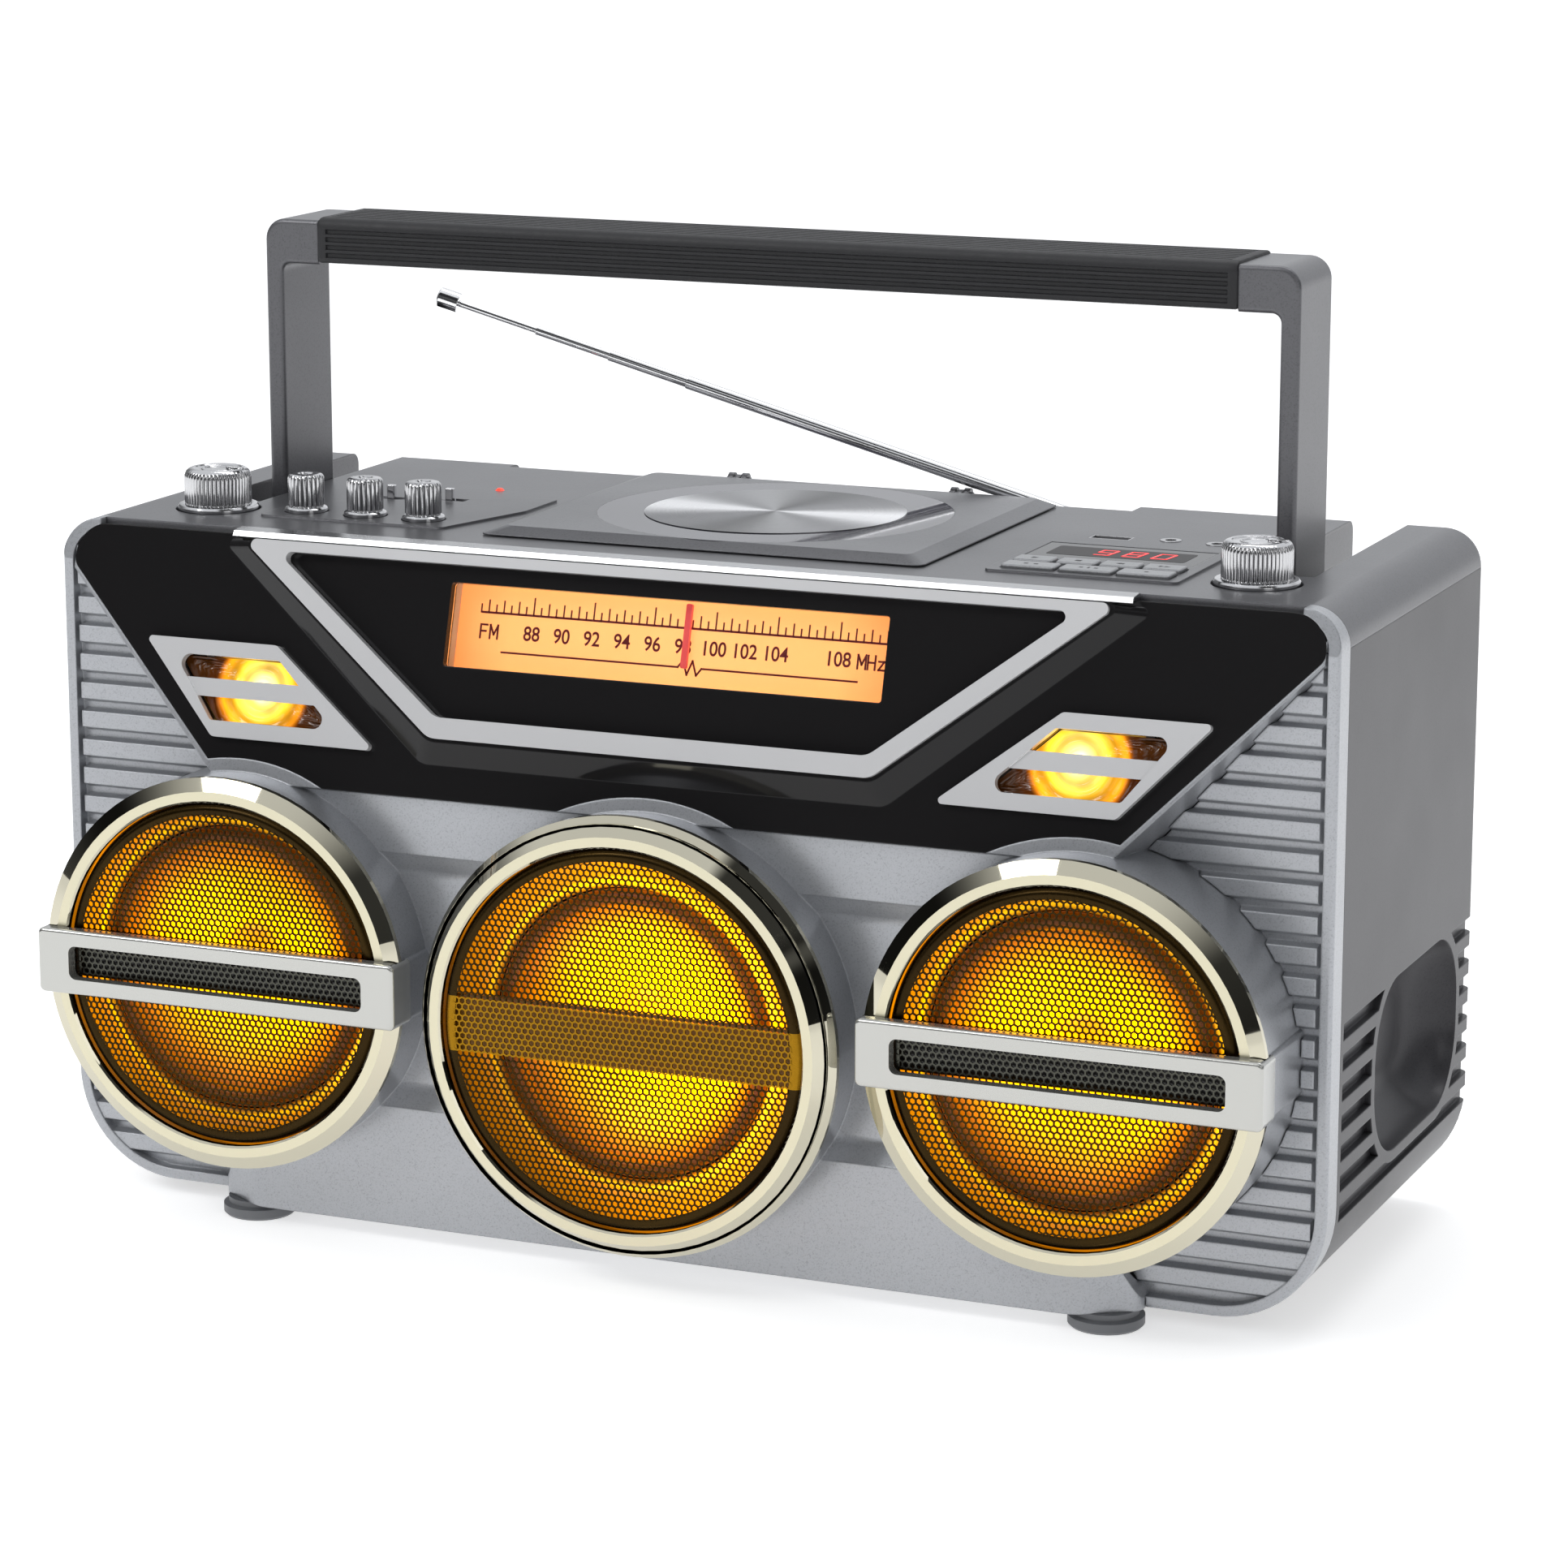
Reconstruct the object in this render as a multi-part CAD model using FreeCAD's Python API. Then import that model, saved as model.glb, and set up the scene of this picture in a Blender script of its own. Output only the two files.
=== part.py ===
import FreeCAD, Part
import math
import os
from FreeCAD import Placement, Rotation, Vector

# Portable CD and radio player with three speakers, a fold-down handle and a rod antenna.
# Millimetres. +Z up, front facing -Y, origin at the centre of the box's underside.

# ---- driving dimensions ------------------------------------------------------------
HALF_W = 214.5            # half of the cabinet's width
RIM_Y = -60.0             # front plane of the rim
SEAM_Y = -50.0            # joint between front frame and rear cabinet
REAR_Y = 99.0             # back of the cabinet
BASE_Z = 6.0              # underside of the cabinet, above the feet
TOP_Z = 225.0             # top deck
SEAM_Z = 213.0            # joint between rear cabinet and top cover
TOP_R = 12.0              # upper corner radius, seen from the front
BOTTOM_R = 35.0           # lower corner radius
WALL = 2.5
GAP = 0.4                 # free gap round a moving piece
FIT = 0.05                # radial clearance of a running fit
REAR_R = 4.0              # rounding of the cabinet's rear edges
RIM_R = 1.2               # rounding of the rim's outer edge

LEAN = 16.25              # the fascia leans back by this many degrees
FASCIA_Y = -66.0          # fascia plane's y at FASCIA_Z
FASCIA_Z = 190.0
FASCIA_T = 3.0

SIDE_X = 141.5            # side speaker axis
SIDE_Z = 87.7
SIDE_FRONT = -94.0
SIDE_MESH_R = 56.1
SIDE_DRUM_R = 63.5
MID_Z = 82.2              # centre speaker axis
MID_FRONT = -99.0
MID_MESH_R = 60.9
MID_DRUM_R = 68.5
PANEL_Y = -75.0           # front of the silver centre panel

LID_HALF = 75.0
LID_FRONT_Y = -38.0
LID_REAR_Y = 88.0
LID_H = 2.8
DISC_Y = 25.0             # centre of the compact disc well
WELL_R = 61.5
WINDOW_R = 57.6
BADGE_R = 42.3            # brushed disc in the middle of the lid window

POST_X = 177.7            # outer face of the handle posts
POST_T = 6.2
POST_Y0 = 12.8
POST_Y1 = 46.5
HANDLE_TOP = 316.0
ARM_H = 14.6
PIVOT_Y = (POST_Y0 + POST_Y1) / 2
PIVOT_Z = 206.0
CHANNEL_X0 = 170.9        # inner wall of the handle channel
CHANNEL_X1 = 190.0
CHANNEL_FRONT = -7.0
CHANNEL_FLOOR = 187.0

BIG_KNOB_X = 177.2
BIG_KNOB_Y = -23.4
BIG_KNOB_R = 10.9
TONE_KNOBS = {"bass_knob": -146.0, "treble_knob": -124.5, "balance_knob": -103.5}
TONE_Y = -21.0
TONE_R = 6.0

ANT_PIVOT = Vector(84.0, 93.0, 219.3)
ANT_TIP = Vector(-137.6, 62.0, 286.0)
STUD_R = 3.5              # antenna's swivel stud


# ---- work planes and basic shapes --------------------------------------------------
FLAT = Placement()                                                  # u, v, w = x, y, z
FRONT = Placement(Vector(0, 0, 0), Rotation(Vector(1, 0, 0), 90))   # u, v, w = x, z, -y
SLOPE = Placement(Vector(0, FASCIA_Y, FASCIA_Z), Rotation(Vector(1, 0, 0), 90 - LEAN))
SIDE = Placement(Vector(0, 0, 0), Rotation(Vector(0, 1, 0), Vector(0, 0, 1), Vector(1, 0, 0)))


def slope_v(z):
    """Distance up the fascia plane for a height z."""
    return (z - FASCIA_Z) / math.cos(math.radians(LEAN))


def box(x0, x1, y0, y1, z0, z1):
    return Part.makeBox(x1 - x0, y1 - y0, z1 - z0, Vector(x0, y0, z0))


def fuse(shapes):
    result = shapes[0].fuse(shapes[1:]) if len(shapes) > 1 else shapes[0]
    return result.removeSplitter()


def cut(body, tools):
    return body.cut(tools).removeSplitter() if tools else body


def mirror(shape):
    return shape.mirror(Vector(0, 0, 0), Vector(1, 0, 0))


def both(shape):
    return [shape, mirror(shape)]


def place(shape, plane):
    moved = shape.copy()
    moved.Placement = plane.multiply(moved.Placement)
    return moved


def rounded_wire(points, radii, w):
    """Closed outline through the corner points, each corner rounded by its radius."""
    count = len(points)
    if not isinstance(radii, (list, tuple)):
        radii = [radii] * count
    corners = [Vector(p[0], p[1], w) for p in points]
    starts, ends, mids = [], [], []
    for i, corner in enumerate(corners):
        radius = radii[i]
        if radius == 0:
            starts.append(corner)
            ends.append(corner)
            mids.append(corner)
            continue
        before = (corners[i - 1] - corner).normalize()
        after = (corners[(i + 1) % count] - corner).normalize()
        half = before.getAngle(after) / 2
        back = radius / math.tan(half)
        bisector = (before + after).normalize()
        centre = corner + bisector * (radius / math.sin(half))
        starts.append(corner + before * back)
        ends.append(corner + after * back)
        mids.append(centre - bisector * radius)
    edges = []
    for i in range(count):
        if radii[i] > 0:
            edges.append(Part.Arc(starts[i], mids[i], ends[i]).toShape())
        following = starts[(i + 1) % count]
        if (following - ends[i]).Length > 1e-4:
            edges.append(Part.LineSegment(ends[i], following).toShape())
    return Part.Wire(edges)


def plate(points, radii, w0, w1, plane):
    """Prism of a rounded outline between w0 and w1 on a work plane."""
    face = Part.Face(rounded_wire(points, radii, w0))
    return place(face.extrude(Vector(0, 0, w1 - w0)), plane)


def rect(u0, u1, v0, v1):
    return [(u0, v0), (u1, v0), (u1, v1), (u0, v1)]


def disc(u, v, r, w0, w1, plane):
    return place(Part.makeCylinder(r, w1 - w0, Vector(u, v, w0)), plane)


def turned(profile, plane, u, v):
    """Solid of revolution about the plane's normal at (u, v); profile is (radius, w) points."""
    points = [Vector(r, 0, w) for r, w in profile]
    face = Part.Face(Part.makePolygon(points + points[:1]))
    solid = face.revolve(Vector(0, 0, 0), Vector(0, 0, 1), 360)
    solid.translate(Vector(u, v, 0))
    return place(solid, plane)


def loft(wires, plane):
    return place(Part.makeLoft(wires, True, False), plane)


def export(name, shape):
    os.makedirs("parts", exist_ok=True)
    shape.exportStep("parts/%s.step" % name)


# ---- cabinet outline ---------------------------------------------------------------
def body_outline(inset):
    half = HALF_W - inset
    return rect(-half, half, BASE_Z + inset, TOP_Z - inset)


def body_radii(inset):
    return [BOTTOM_R - inset] * 2 + [TOP_R - inset] * 2


def body_prism(inset, y_front, y_back):
    return plate(body_outline(inset), body_radii(inset), -y_back, -y_front, FRONT)


def edges_in_plane(shape, y):
    """Edges that lie in the upright plane at this y."""
    return [edge for edge in shape.Edges
            if all(abs(vertex.Point.y - y) < 0.01 for vertex in edge.Vertexes)]


def rounded_body():
    """Outer form of the rear cabinet and the top cover, with rounded rear edges."""
    block = body_prism(0, SEAM_Y, REAR_Y)
    return block.makeFillet(REAR_R, edges_in_plane(block, REAR_Y))


# ---- front: fascia outline and the silver centre panel -----------------------------
FASCIA_TOP = slope_v(TOP_Z - 1.5)
FASCIA_BOTTOM = slope_v(148.0)
CHEEK_TOP = (210.0, slope_v(210.7))       # where the sloping edge meets the rim
CHEEK_FOOT_X = 147.6
STRIP_W = 2.5                             # silver strip along the sloping edge


def fascia_outline():
    """Flat top, short sides, long sloping edges, flat foot."""
    right = [(CHEEK_FOOT_X, FASCIA_BOTTOM), CHEEK_TOP, (CHEEK_TOP[0], FASCIA_TOP)]
    left = [(-u, v) for u, v in reversed(right)]
    return right + left


def speaker_axes():
    """Name, x, z, front y, mesh radius and drum radius of the three speakers."""
    return [("left", -SIDE_X, SIDE_Z, SIDE_FRONT, SIDE_MESH_R, SIDE_DRUM_R),
            ("center", 0.0, MID_Z, MID_FRONT, MID_MESH_R, MID_DRUM_R),
            ("right", SIDE_X, SIDE_Z, SIDE_FRONT, SIDE_MESH_R, SIDE_DRUM_R)]


DRUM_CLEAR = 3.7          # ring of silver left between drum and fascia edge
DRUM_DEPTH = 3.0          # drum starts this far behind its ring's front face
DRUM_INSET = 0.5          # drum is this much smaller than the ring round its mouth


def drum_space(grow):
    """Cylinders round the three drums, from behind the panel to far in front."""
    return [disc(x, z, drum + grow, 40.0, 120.0, FRONT)
            for _, x, z, _, _, drum in speaker_axes()]


BAR_HALF_L = 64.0
BAR_HALF_H = 10.6
BAR_FRONT = -98.0
BAR_DEPTH = 12.0
BAR_R = 1.2               # rounding of the bar's front edges


def sleeve(side):
    """Silver block that carries the bar's ends back to the cabinet."""
    centre = side * SIDE_X
    return plate(rect(centre - 63.4, centre + 63.4, SIDE_Z - 10.1, SIDE_Z + 10.1), 1.5,
                 56.0, -(BAR_FRONT + BAR_DEPTH), FRONT)


def brow(w_back, w_front):
    """Prism of the fascia outline between two distances from the fascia plane."""
    return plate(fascia_outline(), [1.0, 5.0, 11.0, 11.0, 5.0, 1.0], w_back, w_front, SLOPE)


def brow_hollow():
    foot, side = CHEEK_FOOT_X - 4.0, CHEEK_TOP[0] - 3.0
    right = [(foot, FASCIA_BOTTOM + 1.5), (side, CHEEK_TOP[1] + 1.0), (side, FASCIA_TOP - 2.0)]
    left = [(-u, v) for u, v in reversed(right)]
    return plate(right + left, [1.0, 5.0, 8.0, 8.0, 5.0, 1.0], -60.0, -FASCIA_T - WALL, SLOPE)


def edge_strip(side, width):
    """Silver strip along the fascia's sloping edge."""
    foot, top = CHEEK_FOOT_X - 2.0, CHEEK_TOP[0]
    low = FASCIA_BOTTOM - 1.0
    right = [(foot, low), (foot + width * 1.4, low), (top, CHEEK_TOP[1] - width * 0.6),
             (top, CHEEK_TOP[1] + 6.0), (top - 3.0, CHEEK_TOP[1])]
    return plate([(side * u, v) for u, v in right], 0, -40.0, 0.0, SLOPE)


def drum_collars():
    """Silver rings between the drums and the edge of the fascia."""
    return [space.common(brow(-20.0, 0.0)) for space in drum_space(DRUM_CLEAR)]


def behind_rib_wall():
    return box(-300, 300, -56.0, 300, -50, 400)


SLAB_TOP = 147.0


def centre_slab(inset):
    """Lower silver panel: flat front, ends curving back above the feet."""
    half = 158.0 - inset
    front = PANEL_Y + inset
    outline = [(half, -56.0), (half, front + 11), (half - 18, front),
               (-half + 18, front), (-half, front + 11), (-half, -56.0)]
    return plate(outline, [0, 6, 12, 12, 6, 0], BASE_Z + inset, SLAB_TOP, FLAT)


WAIST_DEPTH = 3.2
WAIST_LOW, WAIST_HIGH = 45.0, 129.0
WAIST_RAMP = 7.0


def waist_recess(shift):
    """Shallow horizontal hollow across the panel between the speakers."""
    front, floor = PANEL_Y + shift, PANEL_Y + shift + WAIST_DEPTH
    outline = [(front - 5, WAIST_LOW), (front, WAIST_LOW), (floor, WAIST_LOW + WAIST_RAMP),
               (floor, WAIST_HIGH - WAIST_RAMP), (front, WAIST_HIGH), (front - 5, WAIST_HIGH)]
    return plate(outline, [0, 1, 6, 6, 1, 0], -170.0, 170.0, SIDE)


def panel_cheek_cut(side):
    """Space beside the drum where the ribs show instead of the panel."""
    outline = [(side * 141.5, 26.0), (side * 149.0, 26.0), (side * 161.0, 4.0),
               (side * 240.0, 4.0), (side * 240.0, 156.0), (side * 141.5, 156.0)]
    return plate(outline, 0, 50.0, 90.0, FRONT)


def front_panel():
    cheeks = [panel_cheek_cut(1), panel_cheek_cut(-1)]
    slab = cut(centre_slab(0), [waist_recess(0)] + cheeks)
    slab = cut(slab, [cut(centre_slab(WALL), [waist_recess(WALL)])])
    top = cut(fuse([brow(-40.0, -FASCIA_T), edge_strip(1, STRIP_W), edge_strip(-1, STRIP_W)]),
              [brow(-FASCIA_T, 5.0), brow_hollow()])
    drums = [disc(x, z, drum - DRUM_INSET, 56.0, -front - DRUM_DEPTH, FRONT)
             for _, x, z, front, _, drum in speaker_axes()]
    bores = [disc(x, z, mesh_r + 2.6, 40.0, 120.0, FRONT)
             for _, x, z, _, mesh_r, _ in speaker_axes()]
    windows = [plate(rect(-76.5, 76.5, -4.5, 27.5), 1.0, -12, 1, SLOPE)]
    for side in (1, -1):
        windows.append(plate([(side * 104, -28), (side * 152, -28), (side * 172, -2.5),
                              (side * 128, -2.5)], 1.0, -12, 1, SLOPE))
    block = fuse([slab, top] + drums + drum_collars() + [sleeve(1), sleeve(-1)])
    return cut(block, bores + windows + [behind_rib_wall()])


# ---- front frame with ribs ---------------------------------------------------------
RIM_W = 3.7
RIB_PITCH = 9.45
RIB_FACE = 5.2
RIB_COUNT = 21
RIB_FIRST_Z = 17.3
RIB_WALL_Y = -56.0
RIB_FRONT_Y = -59.6


def rib(index):
    z = RIB_FIRST_Z + index * RIB_PITCH
    half, foot = RIB_FACE / 2, RIB_FACE / 2 + 0.7
    outline = [(RIB_WALL_Y, z - foot - 0.8), (RIB_FRONT_Y, z - half), (RIB_FRONT_Y, z + half),
               (RIB_WALL_Y, z + foot)]
    return plate(outline, 0, 118.0, HALF_W - RIM_W - 1.4, SIDE)


def front_frame():
    block = body_prism(0, RIM_Y, SEAM_Y)
    block = block.makeFillet(RIM_R, edges_in_plane(block, RIM_Y))
    ring = cut(block, [body_prism(RIM_W, RIM_Y - 1, SEAM_Y + 1)])
    wall = cut(body_prism(WALL, RIB_WALL_Y, RIB_WALL_Y + WALL),
               [plate([(140, 20), (152, 20), (152, 150), (198, 206), (198, 214), (-198, 214),
                       (-198, 206), (-152, 150), (-152, 20), (-140, 20)], 0, 50, 60, FRONT)] +
               both(disc(SIDE_X, SIDE_Z, SIDE_DRUM_R - 2.0, 50, 60, FRONT)))
    ribs = []
    for index in range(RIB_COUNT):
        ribs += both(rib(index))
    panel_space = [centre_slab(-0.3).cut([panel_cheek_cut(1), panel_cheek_cut(-1)]),
                   brow(-60.0, 5.0), edge_strip(1, STRIP_W + 0.3), edge_strip(-1, STRIP_W + 0.3)]
    sleeves = both(box(SIDE_X - 63.8, SIDE_X + 63.8, -90, -56, SIDE_Z - 10.5, SIDE_Z + 10.5))
    inner = body_prism(RIM_W, RIM_Y - 1, SEAM_Y)
    ribs = [part.common(inner).cut(drum_space(0.3 - DRUM_INSET) + sleeves) for part in ribs]
    frame = fuse([ring, wall] + ribs)
    above_fascia = plate(rect(-260, 260, -5, 90), 0, 0.4, 40, SLOPE)
    top_gap = box(-202, 202, -70, -40, FASCIA_Z + 20, TOP_Z + 5)
    return cut(frame, panel_space + [above_fascia, top_gap])


# ---- black fascia, trims, dial and headlights --------------------------------------
ISLAND_H = 4.0
TRIM_OUTER = [(74.1, slope_v(166.0)), (147.5, slope_v(TOP_Z - 3.2))]
TRIM_INNER = [(72.6, slope_v(172.4)), (134.6, slope_v(218.6))]
DIAL = rect(-73.7, 73.7, slope_v(188.2), slope_v(213.5))


def trapezoid(right_corners, grow):
    low, high = right_corners
    right = [(low[0] + grow * 0.5, low[1] - grow), (high[0] + grow * 1.3, high[1])]
    return [(-u, v) for u, v in reversed(right)] + right


TRIM_RADII = [2.0, 7.0, 7.0, 2.0]


def headlight_points(side, inner_top, outer_top, outer_low, inner_low, v_top, v_low):
    return [(side * inner_low, v_low), (side * outer_low, v_low), (side * outer_top, v_top),
            (side * inner_top, v_top)]


def headlight_outer(side):
    return headlight_points(side, 132.1, 179.7, 151.9, 93.5, 0.0, slope_v(160.7))


def headlight_opening(side):
    return headlight_points(side, 130.5, 168.5, 153.0, 108.5, -4.9, -25.4)


def fascia():
    base = brow(-FASCIA_T, 0.0)
    foot = rounded_wire(trapezoid(TRIM_OUTER, 8.0), TRIM_RADII, 0.0)
    crown = rounded_wire(trapezoid(TRIM_OUTER, 1.2), TRIM_RADII, ISLAND_H)
    island = loft([foot, crown], SLOPE)
    well = plate(trapezoid(TRIM_INNER, 0.0), TRIM_RADII, 1.2, 10.0, SLOPE)
    groove = plate(trapezoid(TRIM_OUTER, 0.0), TRIM_RADII, 2.2, 10.0, SLOPE)
    shape = fuse([base, island])
    tools = [well, groove, plate(DIAL, 1.0, -10, 10, SLOPE)]
    tools += drum_space(DRUM_CLEAR)
    for side in (1, -1):
        tools.append(plate(headlight_opening(side), 2.5, -10, 10, SLOPE))
    above = box(-250, 250, -100, 0, TOP_Z - 1.5, TOP_Z + 30)
    return cut(shape, tools + [above])


def fascia_trim():
    band = plate(trapezoid(TRIM_OUTER, 0.0), TRIM_RADII, 2.2, 5.4, SLOPE)
    well = plate(trapezoid(TRIM_INNER, 0.0), TRIM_RADII, 2.0, 10.0, SLOPE)
    return cut(band, [well, box(-250, 250, -100, 0, TOP_Z - 1.5, TOP_Z + 30)])


def top_trim_strip():
    return plate([(-61.2, TOP_Z - 1.5), (-54.0, TOP_Z - 1.5), (-54.0, TOP_Z), (-55.0, TOP_Z + 0.7),
                  (-60.2, TOP_Z + 0.2)], 0, -151.0, 151.0, SIDE)


def dial_light_box():
    """Tray behind the dial that spreads the lamp light over the scale."""
    outer = plate(rect(-76.0, 76.0, -4.0, 27.0), 1.0, -17.0, -FASCIA_T, SLOPE)
    inner = plate(rect(-74.0, 74.0, -2.2, 25.2), 1.0, -15.5, -FASCIA_T + 1, SLOPE)
    return cut(outer, [inner])


def dial_scale():
    return plate(rect(-73.9, 73.9, -2.1, 25.1), 1.0, -8.2, -7.4, SLOPE)


def dial_pointer():
    return plate(rect(4.0, 6.0, 4.0, 24.0), 0.6, -6.6, -5.4, SLOPE)


def dial_lens():
    return plate(rect(-73.6, 73.6, slope_v(188.2) + 0.1, slope_v(213.5) - 0.1), 1.0,
                 -2.2, -1.2, SLOPE)


BEZEL_RADII = [1.2, 2.5, 1.2, 2.5]
LAMP_RADII = [3.0, 1.6, 3.0, 1.6]
SLAT_V = -15.0            # middle of the slat across the lamp
SLAT_HALF = 2.9


def headlight_bezels():
    bezels = []
    for side in (1, -1):
        rim = plate(headlight_outer(side), BEZEL_RADII, 0.0, 2.4, SLOPE)
        opening = plate(headlight_opening(side), LAMP_RADII, -1, 5, SLOPE)
        slat = plate(headlight_points(side, 100.0, 175.0, 175.0, 100.0, SLAT_V + SLAT_HALF,
                                      SLAT_V - SLAT_HALF), 0, -0.4, 1.6, SLOPE)
        slat = slat.common(plate(headlight_opening(side), LAMP_RADII, -3, 5, SLOPE))
        bezels.append(fuse([cut(rim, [opening]), slat]))
    return Part.makeCompound(bezels)


def headlight_lenses():
    return Part.makeCompound([plate(headlight_opening(side), 2.7, -2.4, -1.0, SLOPE)
                              for side in (1, -1)])


def headlight_reflectors():
    cups = []
    for side in (1, -1):
        centre = (side * 138.5, -15.2)
        wall = [(21.0, -3.1), (23.5, -3.1), (10.0, -15.5), (3.0, -15.5), (3.0, -14.0), (8.5, -14.0)]
        cup = turned(wall, SLOPE, *centre)
        bulb = turned([(0, -15.5), (2.6, -15.5), (2.6, -9.0), (1.6, -7.0), (0, -6.4)], SLOPE,
                      *centre)
        inside = plate([(side * 104.4, -27.6), (side * 151.6, -27.6), (side * 171.4, -2.9),
                        (side * 128.3, -2.9)], 1.0, -40, 1, SLOPE)
        cups += [cup.common(inside), bulb]
    return Part.makeCompound(cups)


# ---- speakers ----------------------------------------------------------------------
def speaker_rings():
    rings = []
    for name, x, z, front, mesh_r, drum in speaker_axes():
        bevel = 7.0 if name == "center" else 3.0
        edge = drum + (1.5 if name == "center" else 0.4)
        w = -front
        rings.append(turned([(mesh_r, w - 2.4), (mesh_r, w - 0.6), (mesh_r + 0.6, w),
                             (mesh_r + 3.6, w), (edge, w - bevel + 0.8), (edge, w - bevel - 1.2),
                             (drum - 0.45, w - bevel - 1.2), (drum - 0.45, w - DRUM_DEPTH),
                             (mesh_r + 2.0, w - DRUM_DEPTH), (mesh_r + 2.0, w - 2.4)],
                            FRONT, x, z))
    return rings


def speaker_grilles():
    """Perforated metal: flat in the middle, edge bent back into the ring."""
    grilles = []
    for _, x, z, front, mesh_r, _ in speaker_axes():
        w = -front
        outside = [(0, w - 1.6), (mesh_r - 2.6, w - 1.6), (mesh_r, w - 4.2), (mesh_r, w - 8.0)]
        inside = [(mesh_r - 0.7, w - 8.0), (mesh_r - 0.7, w - 4.5), (mesh_r - 2.9, w - 2.3), (0, w - 2.3)]
        grilles.append(turned(outside + inside, FRONT, x, z))
    return grilles


def speaker_bars():
    bars = []
    for side in (1, -1):
        centre = side * SIDE_X
        outline = rect(centre - BAR_HALF_L, centre + BAR_HALF_L, SIDE_Z - BAR_HALF_H,
                       SIDE_Z + BAR_HALF_H)
        back = -(BAR_FRONT + BAR_DEPTH)
        body = plate(outline, 2.0, back, -BAR_FRONT, FRONT)
        body = body.makeFillet(BAR_R, edges_in_plane(body, BAR_FRONT))
        slot = plate(rect(centre - 52.7, centre + 52.7, SIDE_Z - 5.5, SIDE_Z + 5.5), 2.5, 80, 110,
                     FRONT)
        ring_space = disc(centre, SIDE_Z, SIDE_DRUM_R + 0.45, 70.0, -SIDE_FRONT, FRONT)
        bars.append(cut(body, [slot, ring_space]))
    return Part.makeCompound(bars)


def center_band():
    """Dark strip across the middle speaker, just behind its mesh."""
    w = -MID_FRONT
    strip = plate(rect(-MID_MESH_R, MID_MESH_R, MID_Z - 9.0, MID_Z + 9.0), 0, w - 5.4, w - 4.6,
                  FRONT)
    return strip.common(disc(0, MID_Z, MID_MESH_R - 1.2, 80.0, 110.0, FRONT))


CONE_SINK = 11.0          # cone edge behind the ring's front face


def speaker_drivers():
    """Steel baskets with their surrounds' seats and the magnets behind them."""
    solids = []
    for _, x, z, front, mesh_r, _ in speaker_axes():
        w = -front - CONE_SINK
        flange = mesh_r + 2.4
        basket = turned([(46.6, w + 1.0), (flange, w + 1.0), (flange, w - 2.0), (51.0, w - 2.0),
                         (29.0, w - 30.0), (29.0, w - 32.0), (15.0, w - 32.0), (15.0, w - 30.5),
                         (27.0, w - 30.5), (48.5, w - 3.0), (46.6, w - 1.5)], FRONT, x, z)
        magnet = turned([(0, w - 32.0), (32.0, w - 32.0), (32.0, w - 46.0), (26.0, w - 48.0),
                         (0, w - 48.0)], FRONT, x, z)
        solids += [basket, magnet]
    return Part.makeCompound(solids)


def speaker_cone(x, z, front):
    """Paper cone with a dust cap and its voice coil tube."""
    w = -front - CONE_SINK
    return turned([(0, w - 9.5), (6.0, w - 10.2), (11.0, w - 12.6), (14.0, w - 17.0), (30.0, w - 8.0),
                   (41.0, w - 1.0), (43.5, w + 0.6), (46.0, w - 0.2), (46.0, w - 1.0),
                   (43.5, w - 0.4), (41.0, w - 2.2), (30.0, w - 9.4), (13.6, w - 19.0),
                   (13.6, w - 29.0), (12.8, w - 29.0), (12.8, w - 18.0), (10.4, w - 14.0),
                   (5.8, w - 11.4), (0, w - 10.7)], FRONT, x, z)


# ---- rear cabinet ------------------------------------------------------------------
BAND_LOW = 34.5
BAND_PITCH = 9.45
BAND_COUNT = 7
BAND_DEPTH = 2.4
PORT_Y, PORT_Z = 34.5, 71.0
PORT_HALF_L, PORT_HALF_H = 46.5, 28.0
BAY_HALF_X = 103.0
BAY_Z0, BAY_Z1 = 16.0, 72.0
BAY_FRONT_Y = 68.0
INLET_X, INLET_Z = 150.0, 40.0
SCREWS = [(x, z) for x in (-196, 196) for z in (48, 160)] + [(-125, 18), (125, 18)]


def port_wire(scale_l, scale_h, x, grow):
    half_l = PORT_HALF_L * scale_l + grow
    half_h = PORT_HALF_H * scale_h + grow
    return rounded_wire(rect(PORT_Y - half_l, PORT_Y + half_l, PORT_Z - half_h, PORT_Z + half_h),
                        half_h * 0.86, x)


def port_bowl(grow):
    """Smooth oval hollow that the fingers grip when the box is lifted by its sides."""
    steps = [(1.0, 1.0, HALF_W + 0.5), (0.95, 0.93, HALF_W - 5.0), (0.82, 0.76, HALF_W - 10.5),
             (0.55, 0.44, HALF_W - 14.0)]
    wires = [port_wire(sl, sh, x - grow, grow) for sl, sh, x in steps]
    return loft(wires, SIDE)


def side_grooves():
    grooves = []
    for index in range(BAND_COUNT):
        z = BAND_LOW + index * BAND_PITCH
        grooves.append(box(HALF_W - BAND_DEPTH, HALF_W + 2, -47.0, REAR_Y + 1, z + 1.7, z + 6.9))
    bezel = plate(rect(PORT_Y - PORT_HALF_L - 3.5, PORT_Y + PORT_HALF_L + 3.5,
                       PORT_Z - PORT_HALF_H - 3.5, PORT_Z + PORT_HALF_H + 3.5), 27.0,
                  HALF_W - 10, HALF_W + 5, SIDE)
    return [groove.cut(bezel) for groove in grooves]


def channel_box(grow, top, rear):
    return box(CHANNEL_X0 - grow, CHANNEL_X1 + grow, CHANNEL_FRONT - grow, rear,
               CHANNEL_FLOOR - grow, top)


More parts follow.
